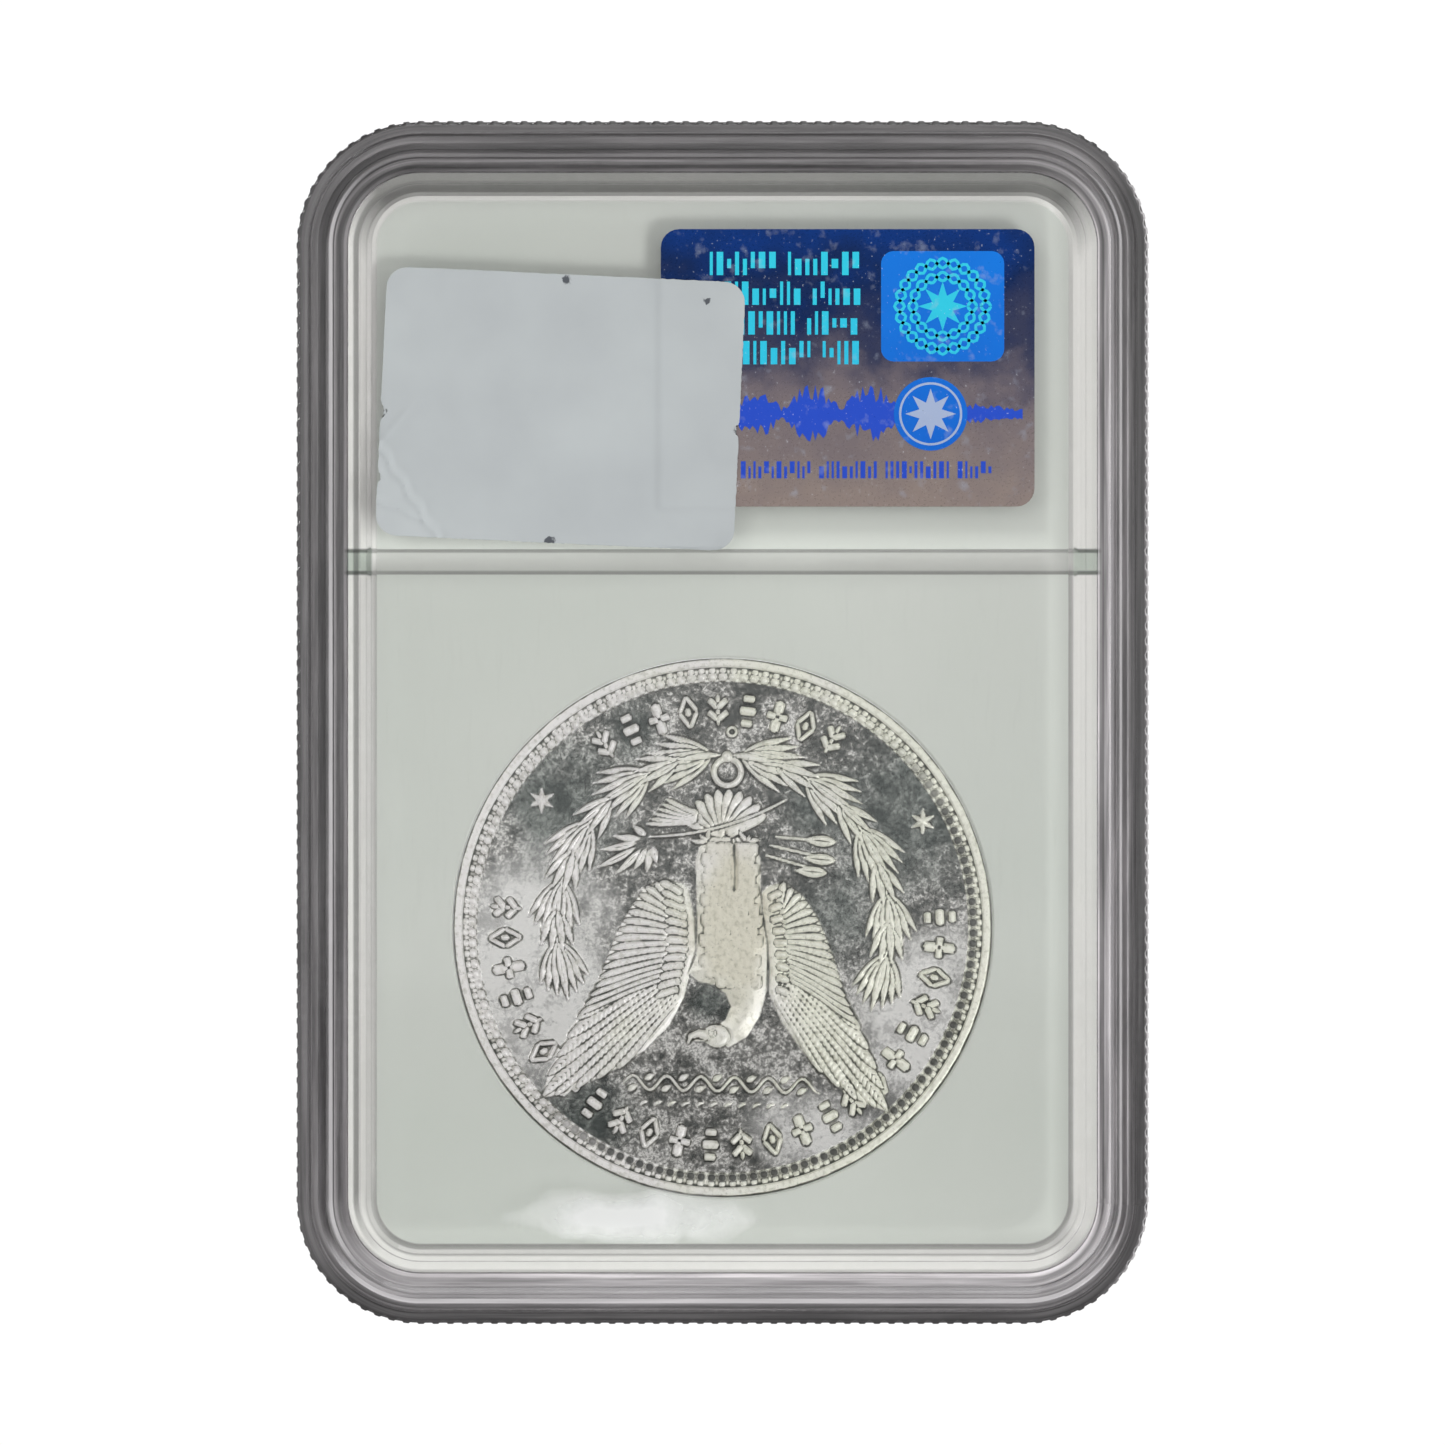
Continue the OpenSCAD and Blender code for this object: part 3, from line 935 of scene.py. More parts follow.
# The bird's body, from the left shoulder down round the neck and head and back up the right side.
BODY = (
    (-1.9, 2.8), (-1.8, 0.4), (-1.8, -2.0), (-2.4, -3.3), (-1.6, -3.9), (-0.5, -4.1), (0.3, -4.7),
    (0.7, -5.6), (0.4, -6.5), (-0.3, -7.0), (-0.6, -7.9), (0.6, -8.5), (1.9, -7.7), (2.8, -6.2),
    (3.2, -4.4), (3.2, -1.0), (2.8, 0.8), (2.6, 2.8), (2.6, 4.6), (2.2, 6.4), (0.8, 6.4), (0.7, 4.4),
    (0.4, 6.4), (-1.6, 6.4), (-2.0, 4.6),
)
SECONDARIES = 17
PRIMARIES = 9


def wing(relief, edges, side, coverts):
    """A wing that hangs from the shoulder: short feathers fan outwards, long ones run to the tip."""
    flip = np.array([side, 1.0])
    outer, inner = (np.array(edge) for edge in edges)
    relief.fill(np.vstack([outer, inner[::-1]]), 0.1)
    for k in range(PRIMARIES):
        t = k / (PRIMARIES - 1)
        start = lerp_line(inner, 0.36 - 0.12 * t) + flip * (0.5 + 0.7 * t, 0)
        end = lerp_line(inner, 0.72 + 0.28 * t / 0.45) if t < 0.45 else lerp_line(outer, 1.3 - 0.62 * t)
        relief.leaf(arc(start, end, side * 0.03), 0.5, 0.14, feather_shape, vein=0.15, barbs=0.45, lift=0.06)
    for k in range(SECONDARIES):
        t = k / (SECONDARIES - 1)
        start = lerp_line(inner, 0.30 - 0.26 * t) + flip * (1.2, 0)
        end = lerp_line(outer, 0.66 - 0.6 * t)
        relief.leaf(arc(start, end, side * 0.06), 0.3, 0.13, feather_shape, lift=0.08)
    rows = 13 if coverts else 9
    for k in range(rows):
        t = k / (rows - 1)
        start = lerp_line(inner, 0.35 - 0.33 * t) + flip * (0.5, 0)
        reach = 1.6 if coverts else 0.9
        end = start + flip * (reach, -0.4 * reach + 0.9 * reach * t)
        relief.leaf(arc(start, end, side * 0.1), 0.28, 0.12, feather_shape, lift=0.12)


# Tips of the branch's leaves and the ends of the arrows' shafts, in the bird's claws.
BRANCH_TIPS = ((-6.5, 7.1), (-7.9, 6.3), (-8.8, 5.3), (-9.1, 4.0), (-7.7, 3.6), (-6.4, 3.9), (-5.5, 3.7),
               (-4.8, 4.4))
ARROWS = (((3.6, 6.5), (7.9, 6.2)), ((3.2, 5.9), (7.9, 4.9)), ((2.9, 5.2), (7.3, 4.0)))


def tail_and_claws(relief):
    """The fanned tail, with the branch to its left and the arrows to its right."""
    for k in range(10):
        feather = arc((0.1, 6.6), (0.1, 6.7) + polar(3.1, 165 - k * 15.5))
        relief.leaf(feather, 0.42, 0.13, feather_shape, vein=0.3, lift=0.05)
    for k in range(6):
        z = 7.2 + 0.36 * k
        relief.leaf(arc((-1.9, 7.5 + 0.1 * k), (-5.6 + 0.28 * k, z), 0.04), 0.2, 0.15, feather_shape)
    relief.leaf(arc((-5.4, 6.3), (4.4, 9.2), -0.13, 16), 0.12, 0.2, stroke_shape)
    for tip in BRANCH_TIPS:
        start = np.array((-5.2, 6.1)) + 0.28 * (np.array(tip) - (-5.2, 6.1))
        relief.leaf(arc(start, tip, 0.06), 0.28, 0.17, vein=0.5)
    for start, end in ARROWS:
        relief.leaf(arc(start, end), 0.12, 0.15, stroke_shape)
        relief.leaf(arc(end, np.array(end) - (2.3, -0.15)), 0.42, 0.18, vein=0.5)


def bird(relief, rng):
    """A heraldic bird seen from its back, head down, with a branch and arrows in its claws."""
    tail_and_claws(relief)
    wing(relief, LEFT_WING, -1, True)
    wing(relief, RIGHT_WING, 1, False)
    relief.fill(BODY, 0.2, 1.5)
    for row in reversed(range(14)):
        low, high = (-0.4, 2.6) if row > 12 else (-1.5, 2.1 + 0.5 * (row > 5))
        for x in np.arange(-1.5 + 0.3 * (row % 2), 3.0, 0.6):
            start = np.array((x + rng.uniform(-0.06, 0.06), 6.0 - 0.72 * row))
            if low < x < high:
                end = start + (rng.uniform(-0.12, 0.12), -0.95)
                relief.leaf(arc(start, end), 0.4, 0.03, feather_shape, lift=0.185, cut=0.06)
    for side in (-1, 1):
        for k in range(3):
            claw = (0.3 + side * 1.5, 6.1)
            relief.leaf(arc(claw, (side * (1.0 + 0.75 * k), 6.9 - 0.35 * k), 0.2), 0.2, 0.2)
    relief.leaf(arc((0.65, 6.3), (0.75, 2.6), 0.03), 0.14, 0.03, stroke_shape)
    relief.dome((-0.25, -7.7), 0.82, 0.21, 1.2, 80, 0.35)
    relief.leaf(((-0.7, -7.75), (-1.5, -7.55), (-2.1, -7.75), (-2.25, -8.25)), 0.42, 0.21, taper_shape)
    relief.leaf(arc((-0.8, -8.05), (-1.8, -8.0)), 0.1, 0.02, stroke_shape)
    relief.ring((-0.55, -7.5), 0.2, 0.07, 0.22)


def branch(relief, base, angle_deg, way, leaves, reach, spread=9.5, width=0.31):
    """A fan of leaves from a point of the wreath, pointing round the coin."""
    start = polar(base, angle_deg)
    heading = angle_deg + 98 * way
    for k in sorted(range(leaves), key=lambda n: -abs(n - (leaves - 1) / 2)):
        off = k - (leaves - 1) / 2
        length = reach * (1 - 0.07 * abs(off))
        near = start + polar(0.5 + 0.3 * (k % 2), heading + 0.7 * off * spread)
        tip = start + polar(length, heading + off * spread)
        relief.leaf(arc(near, tip, 0.12 * off / leaves), width, 0.2, vein=0.35)


def wreath(relief):
    """Two garlands of leaf fans that meet in a bow at the top."""
    for way, angles in ((1, (93, 115, 141, 163, 184)), (-1, (87, 64, 39, 15, -6))):
        bend = np.linspace(angles[0], angles[-1] + 14 * way, 24)
        stem = [polar(12.3 - 0.006 * (a - angles[0]) * way, a) for a in bend]
        relief.leaf(np.array(stem), 0.12, 0.13, stroke_shape)
        for k, angle in enumerate(angles):
            branch(relief, 12.3 - 0.12 * k, angle, way, 7, 5.3 - 0.15 * k)
            if k:
                branch(relief, 12.3 - 0.12 * k, angle - 11 * way, way, 4, 4.0 - 0.1 * k, 14.0, 0.28)
        for k in range(3):
            tip = polar(13.4 - 0.55 * k, 90 + (23 - 3 * k) * way)
            relief.leaf(arc((-0.4 * way, 12.2), tip, -0.03 * way), 0.24, 0.19, vein=0.3)
    relief.ring((0.1, 11.0), 0.95, 0.24, 0.19)
    relief.dome((0.05, 12.1), 0.42, 0.21)
    relief.ring((0.35, 13.85), 0.3, 0.13, 0.16)


# Strokes of the border's ornaments: ends across and towards the rim, and half the stroke's width.
LOZENGE = ((0, 0.95, 0.55, 0, 0.15), (0.55, 0, 0, -0.95, 0.15), (0, -0.95, -0.55, 0, 0.15),
           (-0.55, 0, 0, 0.95, 0.15), (0, 0.22, 0, -0.22, 0.18))
PETALS = ((0, 0.1, 0, 0.95, 0.3), (0, -0.1, 0, -0.95, 0.3), (0.1, 0, 0.65, 0, 0.22),
          (-0.1, 0, -0.65, 0, 0.22))
SPRIG = ((0, -0.95, 0, 0.95, 0.14), (0, -0.6, 0.6, -0.1, 0.2), (0, -0.6, -0.6, -0.1, 0.2),
         (0, 0.1, 0.55, 0.65, 0.2), (0, 0.1, -0.55, 0.65, 0.2))
KNOTS = ((-0.35, 0.75, 0.35, 0.75, 0.22), (-0.5, 0, 0.5, 0, 0.26), (-0.35, -0.75, 0.35, -0.75, 0.22))
ORNAMENT_R = 15.4


def ornament(relief, strokes, angle_deg, height=0.2):
    """An ornament's strokes, set in the border at an angle."""
    centre = polar(ORNAMENT_R, angle_deg)
    out = polar(1.16, angle_deg)
    across = np.array([-out[1], out[0]])
    for u0, v0, u1, v1, width in strokes:
        ends = centre + u0 * across + v0 * out, centre + u1 * across + v1 * out
        relief.leaf(arc(*ends, steps=1), 1.25 * width, height, stroke_shape)


def border_ring(relief):
    """Ornaments that stand where a coin's legend would, with two stars between them."""
    kinds = (SPRIG, LOZENGE, PETALS, KNOTS)
    count = 0
    for first, last, number in ((176, 216, 6), (227, 301, 10), (308, 364, 8), (61, 124, 9)):
        for angle in np.linspace(first, last, number):
            ornament(relief, kinds[count % len(kinds)], angle)
            count += 1
    relief.star((-13.0, 8.7), 6, 0.95, 0.45, 0.2)
    relief.star((14.0, 7.8), 6, 0.95, 0.45, 0.2)


def scroll_row(relief):
    """A running vine with a leaf in each bend under the bird, and a lighter row below it."""
    x = np.linspace(-7.0, 7.2, 96)
    vine = np.stack([x, -11.1 + 0.5 * np.sin((x + 6.7) * math.pi / 1.2)], -1)
    relief.leaf(vine, 0.13, 0.17, stroke_shape)
    for k in range(11):
        side = (-1) ** k
        middle = np.array((-6.1 + 1.2 * k, -11.1 - 0.4 * side))
        relief.leaf(arc(middle - (0.35, 0.2), middle + (0.35, 0.2), 0.1), 0.24, 0.17, vein=0.3)
    for k in range(11):
        relief.leaf(arc((-5.6 + k, -12.75), (-5.0 + k, -12.45), 0.3), 0.13, 0.1)


def reverse_design(relief):
    """The side that faces the back pane."""
    border_ring(relief)
    wreath(relief)
    scroll_row(relief)
    bird(relief, np.random.default_rng(SEED))


def obverse_design(relief):
    """The unseen side: a many-pointed star in a rosette, inside a leaf wreath."""
    for k in range(24):
        relief.leaf(arc(polar(6.2, k * 15), polar(9.4, k * 15)), 0.75, 0.15, vein=0.4)
    relief.ring((0, 0), 6.4, 0.25, 0.18)
    relief.star((0, 0), 12, 5.8, 3.2, 0.2)
    relief.star((0, 0), 6, 2.6, 1.5, 0.2)
    for k in range(16):
        branch(relief, 11.4, k * 22.5, 1, 3, 3.6, 22, 0.42)
    for k in range(36):
        ornament(relief, (PETALS, LOZENGE)[k % 2], k * 10)


TEETH = 150
BEAD_R = 17.74
GROOVE_R = 18.36
RIM_EDGE_R = 18.9


def teeth_and_rim(relief):
    """Teeth with beaded ends inside the rim, and the rim itself with its sloping outer corner."""
    reach = np.hypot(*relief.points.T)
    pitch = 2 * math.pi / TEETH
    off = (np.arctan2(relief.points[:, 1], relief.points[:, 0]) + pitch / 2) % pitch - pitch / 2
    gap = np.hypot(reach - BEAD_R, off * reach) / 0.31
    outer = np.hypot(reach - BEAD_R - 0.45, off * reach) / 0.23
    beads = 0.2 * np.sqrt(np.clip(1 - gap**2, 0, 1))
    ends = 0.16 * np.sqrt(np.clip(1 - outer**2, 0, 1))
    slope = RIM_DROP * smooth_step((reach - RIM_EDGE_R) / 0.13)
    rim = smooth_step((reach - GROOVE_R) / 0.12) * (FIELD_DEPTH - slope)
    relief.height = np.maximum.reduce([relief.height, beads, ends, rim])
    relief.frost = np.maximum(relief.frost, smooth_step((reach - 17.35) / 0.1))
    relief.bead = smooth_step((1.1 - gap) / 0.3)
    relief.edge = smooth_step((reach - RIM_EDGE_R) / 0.1)


def soften(grid, passes):
    """A grid of heights averaged with its neighbours a few times over."""
    for _ in range(passes):
        padded = np.pad(grid, 1, mode="edge")
        beside = padded[:-2, 1:-1] + padded[2:, 1:-1] + padded[1:-1, :-2] + padded[1:-1, 2:]
        grid = (beside + 2 * grid) / 6
    return grid


def disc_points(count, radius):
    """A square grid of points squeezed into a disc, row by row."""
    line = np.linspace(-1, 1, count)
    u, v = np.meshgrid(line, line)
    return np.stack([u * np.sqrt(1 - v**2 / 2), v * np.sqrt(1 - u**2 / 2)], -1).reshape(-1, 2) * radius


def annulus_points(low, high, rings, spokes):
    """Rings of points between two radii."""
    reach = np.linspace(low, high, rings)
    angle = np.arange(spokes) * 2 * math.pi / spokes
    return np.stack([np.outer(reach, np.cos(angle)), np.outer(reach, np.sin(angle))], -1).reshape(-1, 2)


def coin_face(name, points, shape, wrap, design, facing, mat):
    """One piece of a coin's face as a grid of points raised by a design."""
    relief = Relief(points)
    design(relief)
    relief.height *= RELIEF_SCALE
    teeth_and_rim(relief)
    grid = relief.height.reshape(shape)
    hollow = (grid - soften(grid, 5)).reshape(-1)
    x, z = turned(*points.T, COIN_TURN)
    height = COIN_HALF - FIELD_DEPTH + relief.height
    if facing > 0:
        x = -x
    verts = np.stack([COIN_CENTRE[0] + x, facing * height, COIN_CENTRE[1] + z], -1)
    faces = strip_faces(*shape, wrap_cols=wrap)
    if wrap:
        faces = faces[:, ::-1]
    obj = make_mesh(name, verts, faces.tolist(), [mat], sharp_deg=180)
    paint(obj, "frost", relief.frost)
    paint(obj, "bead", relief.bead)
    paint(obj, "hollow", np.clip(0.5 + hollow * 9, 0, 1) * (1 - relief.edge))
    return obj


FACE_SPLIT = 14.4
REEDS = 190


def coin_edge(mat):
    """The reeded edge between the two rims."""
    spokes = REEDS * 6
    angle = np.arange(spokes) * 2 * math.pi / spokes
    rim_h = COIN_HALF - RIM_DROP
    rows = []
    for h, cut in ((-rim_h, 0.0), (-rim_h + 0.08, 0.0), (-rim_h + 0.14, 0.07), (rim_h - 0.14, 0.07),
                   (rim_h - 0.08, 0.0), (rim_h, 0.0)):
        reach = COIN_R - cut * (0.5 - 0.5 * np.cos(angle * REEDS)) ** 1.5
        rows.append(np.stack([COIN_CENTRE[0] + reach * np.cos(angle), np.full(spokes, h),
                              COIN_CENTRE[1] + reach * np.sin(angle)], -1))
    faces = strip_faces(len(rows), spokes, wrap_cols=True)[:, ::-1]
    return make_mesh("coin_reeded_edge", np.concatenate(rows), faces.tolist(), [mat])


def build_coin():
    """Each face is a finely meshed field inside FACE_SPLIT and a ring of border round it."""
    mat = silver("struck_silver")
    made = []
    for side, design, facing, count, rings, spokes in (
        ("reverse", reverse_design, -1, 301, 50, 1500),
        ("obverse", obverse_design, 1, 221, 34, 1200),
    ):
        disc = disc_points(count, FACE_SPLIT + 0.002)
        band = annulus_points(FACE_SPLIT, COIN_R, rings, spokes)
        for part, points, shape in (("field", disc, (count, count)), ("border", band, (rings, spokes))):
            name = f"coin_{side}_{part}"
            made.append(coin_face(name, points, shape, part == "border", design, facing, mat))
    made.append(coin_edge(mat))
    for obj in made:
        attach(obj, "coin")
        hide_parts("coin")


build_coin()


# ---------------------------------------------------------------- flat prints and sheets


def rounded_outline(cx, cz, w, h, r, steps=6):
    """Corner points of a rounded rectangle, counterclockwise."""
    points = []
    for k, (sx, sz) in enumerate(((1, 1), (-1, 1), (-1, -1), (1, -1))):
        x, z = cx + sx * (w / 2 - r), cz + sz * (h / 2 - r)
        for step in range(steps + 1):
            a = math.pi / 2 * (k + step / steps)
            points.append((x + r * math.cos(a), z + r * math.sin(a)))
    return points


def box_outline(x0, z0, x1, z1):
    return [(x0, z0), (x1, z0), (x1, z1), (x0, z1)]


def circle_outline(cx, cz, r, steps=40):
    return [(cx + r * math.cos(a), cz + r * math.sin(a)) for a in np.arange(steps) * 2 * math.pi / steps]


def star_outline(cx, cz, points, outer, inner, turn_deg=90.0):
    reach = [outer if k % 2 == 0 else inner for k in range(2 * points)]
    return [tuple(polar(r, turn_deg + 180 * k / points) + (cx, cz)) for k, r in enumerate(reach)]


def ribbon_outlines(line, half_width):
    """Quads that follow a line of points at an even width."""
    line = np.asarray(line, float)
    way = np.gradient(line, axis=0)
    side = np.stack([-way[:, 1], way[:, 0]], -1)
    side *= half_width / np.linalg.norm(side, axis=1)[:, None]
    left, right = line + side, line - side
    return [[right[k], right[k + 1], left[k + 1], left[k]] for k in range(len(line) - 1)]


def ring_line(cx, cz, radius, wobble=0.0, waves=0, steps=96):
    """A closed line round a centre whose radius may wave in and out."""
    a = np.linspace(0, 2 * math.pi, steps + 1)
    r = radius + wobble * np.cos(waves * a)
    return np.stack([cx + r * np.cos(a), cz + r * np.sin(a)], -1)


def prisms(name, outlines, low, high, facing, mat):
    """One piece made of flat outlines, each raised from low to high off the parting plane."""
    verts, faces = [], []
    for shape in outlines:
        shape = np.asarray(shape, float)
        n = len(shape)
        first = len(verts)
        for h in (low, high):
            verts += [(x, facing * h, z) for x, z in shape]
        made = [list(range(first, first + n))[::-1], list(range(first + n, first + 2 * n))]
        made += [[first + k, first + (k + 1) % n, first + n + (k + 1) % n, first + n + k] for k in range(n)]
        faces += made if facing < 0 else [face[::-1] for face in made]
    obj = make_mesh(name, verts, faces, [mat])
    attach(obj, "holder")
    return obj


def print_rows(rng, x0, x1, z0, z1, rows, gap=0.35, tick=0.3):
    """Rows of plain upright ticks of uneven height and width, in word-like groups."""
    outlines = []
    pitch = (z1 - z0) / rows
    tall = pitch - gap
    for row in range(rows):
        x = x0
        low = z0 + row * pitch
        group = rng.integers(7, 13)
        while x < x1 - tick:
            width = tick * rng.choice([0.6, 0.8, 1.3])
            foot, head = rng.choice([0.0, 0.0, 0.0, 0.3], 2) * tall
            outlines.append(box_outline(x, low + foot, min(x + width, x1), low + tall - head))
            group -= 1
            x += width + tick * (0.75 if group else 2.4)
            group = group or rng.integers(7, 13)
    return outlines


# ---------------------------------------------------------------- foil seal

PRINT_T = 0.012
PANEL_CENTRE = (15.55, 71.9)
DISC_CENTRE = (14.7, 64.3)


def print_layers(prints, base, facing):
    """Pieces from rows of (name, outlines, layer, ink), stacked on a sheet's face at height base."""
    return [prisms(name, shapes, base + (layer - 1) * PRINT_T, base + layer * PRINT_T, facing, mat)
            for name, shapes, layer, mat in prints]


def rosettes(centre, sizes, half_width):
    """Wavy rings in pairs that weave through each other, from (radius, wobble, waves)."""
    shapes = []
    for radius, wobble, waves in sizes:
        for way in (1, -1):
            shapes += ribbon_outlines(ring_line(*centre, radius, way * wobble, waves), half_width)
    return shapes


def build_seal():
    """The foil seal with plain printed shapes: a rosette panel, rows of ticks and a wave band."""
    low, high = node_box("hologram_seal")
    x0, x1, z0, z1 = low[0], high[0], low[2], high[2]
    h = -low[1]
    rng = np.random.default_rng(SEED)
    sheet = rounded_outline((x0 + x1) / 2, (z0 + z1) / 2, x1 - x0, z1 - z0, 1.3)
    stops = ((0.0, (0.29, 0.23, 0.21)), (0.4, (0.18, 0.15, 0.17)), (0.58, (0.045, 0.05, 0.10)),
             (0.8, (0.005, 0.022, 0.10)), (1.0, (0.003, 0.035, 0.2)))
    base = prisms("seal_foil_sheet", [sheet], PANE_H, h, -1, foil("seal_foil", stops, z0, z1))
    blue, deep, cyan, pale = (
        foil(name, ((0.0, low), (1.0, high)), z0, z1, metallic, roughness)
        for name, low, high, metallic, roughness in (
            ("seal_print_blue", (0.005, 0.12, 0.6), (0.004, 0.19, 0.75), 0.3, 0.35),
            ("seal_print_deep_blue", (0.02, 0.07, 0.55), (0.02, 0.09, 0.62), 0.3, 0.35),
            ("seal_print_cyan", (0.02, 0.45, 0.75), (0.03, 0.62, 0.78), 0.2, 0.4),
            ("seal_print_pale", (0.35, 0.42, 0.62), (0.45, 0.55, 0.75), 0.3, 0.35),
        )
    )

    xs = np.linspace(1.0, 21.2, 110)
    swell = 0.3 + 1.2 * np.abs(np.sin(xs * 0.75)) * np.exp(-(((xs - 9) / 8.5) ** 4))
    ups, downs = (DISC_CENTRE[1] + way * swell * (1 + 0.5 * rng.uniform(-1, 1, len(xs))) for way in (1, -1))
    edge = list(zip(xs, downs, ups))
    wave = [[(x, down), (after, after_down), (after, after_up), (x, up)]
            for (x, down, up), (after, after_down, after_up) in zip(edge, edge[1:])]
    small = print_rows(rng, 1.3, 19.2, 59.75, 61.3, 1, 0.35, 0.26)
    words = print_rows(rng, -0.9, 10.0, 67.8, 76.2, 4, 0.45, 0.36)
    emblem = rosettes(PANEL_CENTRE, ((3.05, 0.35, 12), (2.1, 0.3, 8)), 0.11)
    emblem.append(star_outline(*PANEL_CENTRE, 8, 1.75, 0.8))
    ring = ribbon_outlines(ring_line(*DISC_CENTRE, 2.15), 0.08)
    made = [base] + print_layers((
        ("seal_wave_band", wave, 1, deep), ("seal_small_ticks", small, 1, deep),
        ("seal_rosette_panel", [rounded_outline(*PANEL_CENTRE, 8.7, 7.8, 0.9)], 1, blue),
        ("seal_disc", [circle_outline(*DISC_CENTRE, 2.6)], 2, blue),
        ("seal_tick_rows", words, 1, cyan), ("seal_rosette", emblem, 2, cyan),
        ("seal_disc_star", [star_outline(*DISC_CENTRE, 8, 1.8, 0.85)] + ring, 3, pale),
    ), h, -1)
    for obj in made:
        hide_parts("hologram_seal")


# ---------------------------------------------------------------- paper sticker

STICKER_W = 25.4
STICKER_H = 19.05
STICKER_R = 1.6
STICKER_TURN = math.radians(-2.65)
STICKER_T = 0.12
# Small tears in the sticker's edge: across and up from its middle, depth and half width.
STICKER_TEARS = ((-12.7, -0.75, 0.5, 0.35), (12.7, -0.95, 0.45, 0.3), (-12.7, -5.4, 0.3, 0.3))


def sticker_grid(cols, rows):
    """Points of a rounded sheet as a grid, with the corner squares squeezed into quarter discs."""
    x, z = np.meshgrid(np.linspace(-1, 1, cols) * STICKER_W / 2, np.linspace(-1, 1, rows) * STICKER_H / 2)
    over_x = np.clip((np.abs(x) - STICKER_W / 2 + STICKER_R) / STICKER_R, 0, 1)
    over_z = np.clip((np.abs(z) - STICKER_H / 2 + STICKER_R) / STICKER_R, 0, 1)
    x = np.sign(x) * (np.abs(x) - over_x * STICKER_R * (1 - np.sqrt(1 - over_z**2 / 2)))
    z = np.sign(z) * (np.abs(z) - over_z * STICKER_R * (1 - np.sqrt(1 - over_x**2 / 2)))
    return x, z


def edge_nicks(x, z, rng):
    """Pulls the sheet's edge in a little all round, and further at its small tears."""
    reach = np.minimum(STICKER_W / 2 - np.abs(x), STICKER_H / 2 - np.abs(z))
    rim = np.exp(-((reach / 0.12) ** 2))
    pull = rim * rng.uniform(0.0, 0.05, x.shape)
    for tx, tz, depth, wide in STICKER_TEARS:
        pull = pull + rim * depth * np.exp(-((x - tx) ** 2) - ((z - tz) / wide) ** 2)
    return x * (1 - pull / 12.7), z * (1 - pull / 9.5 * (np.abs(z) > 8.8))


def sheet_height(x, z, turned_x, turned_z):
    """How far the sheet's underside lies off the pane: it steps over the seal and bar, and curls."""
    seal_low, seal_high = node_box("hologram_seal")
    over_seal = smooth_step((turned_x - seal_low[0]) / 0.5 + 0.9)
    over_seal = over_seal * smooth_step((turned_z - seal_low[2]) / 0.5 + 0.9)
    over_bar = BAR_RAISE * smooth_step((BAR_Z + BAR_W / 2 + 0.2 - turned_z) / 0.3)
    lift = PANE_H + over_seal * (seal_high[1] - seal_low[1]) + over_bar
    crease = 0.82 * (-12.5 - x) + 0.57 * (-9.3 - z) + 3.3 + 0.12 * np.sin(2.1 * (x - z))
    curl = 0.17 * np.clip(crease, 0, None) ** 0.9
    ridge = 0.16 * np.exp(-((crease / 0.2) ** 2)) - 0.05 * np.exp(-(((crease + 0.45) / 0.25) ** 2))
    low_fold = 0.35 * (x + 9.5) + 0.94 * (z + 8.2) + 0.1 * np.sin(3 * x)
    second = 0.12 * np.exp(-((low_fold / 0.17) ** 2)) * smooth_step((-6.5 - x) / 3)
    side_fold = 0.8 * (x + 12.2) - 0.6 * (z + 2.4)
    second = second + 0.08 * np.exp(-((side_fold / 0.16) ** 2)) * smooth_step((-9.5 - x) / 2)
    bubble = 0.025 * np.sin(0.7 * x + 0.4 * z) * np.sin(0.5 * z - 0.3 * x)
    corner = 0.12 * smooth_step((x - 11.2) / 1.5) * smooth_step((-7.4 - z) / 1.5)
    return lift + 0.01 + curl + ridge + second + np.abs(bubble) + corner


def build_sticker():
    """The blank price sticker: a wrinkled sheet of paper whose lower left corner has come loose."""
    cols, rows = 129, 97
    x, z = sticker_grid(cols, rows)
    x, z = edge_nicks(x, z, np.random.default_rng(SEED))
    low, high = node_box("price_sticker")
    cx, cz = (low[0] + high[0]) / 2, (low[2] + high[2]) / 2
    turned_x, turned_z = turned(x, z, STICKER_TURN)
    turned_x, turned_z = turned_x + cx, turned_z + cz
    under = sheet_height(x, z, turned_x, turned_z)
    sheets = [np.stack([turned_x, -(under + t), turned_z], -1).reshape(-1, 3) for t in (STICKER_T, 0)]
    grid = strip_faces(rows, cols)
    count = rows * cols
    upper, lower = np.arange(1, rows), np.arange(1, rows - 1)[::-1]
    rim = np.concatenate([np.arange(cols), upper * cols + cols - 1,
                          (rows - 1) * cols + np.arange(cols - 1)[::-1], lower * cols])
    after = np.roll(rim, -1)
    side = np.stack([after, rim, rim + count, after + count], -1)
    faces = np.concatenate([grid, grid[:, ::-1] + count, side])
    obj = make_mesh("price_sticker_sheet", np.concatenate(sheets), faces.tolist(), [sticker_paper()])
    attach(obj, "holder")
    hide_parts("price_sticker")


# ---------------------------------------------------------------- printed label on the front


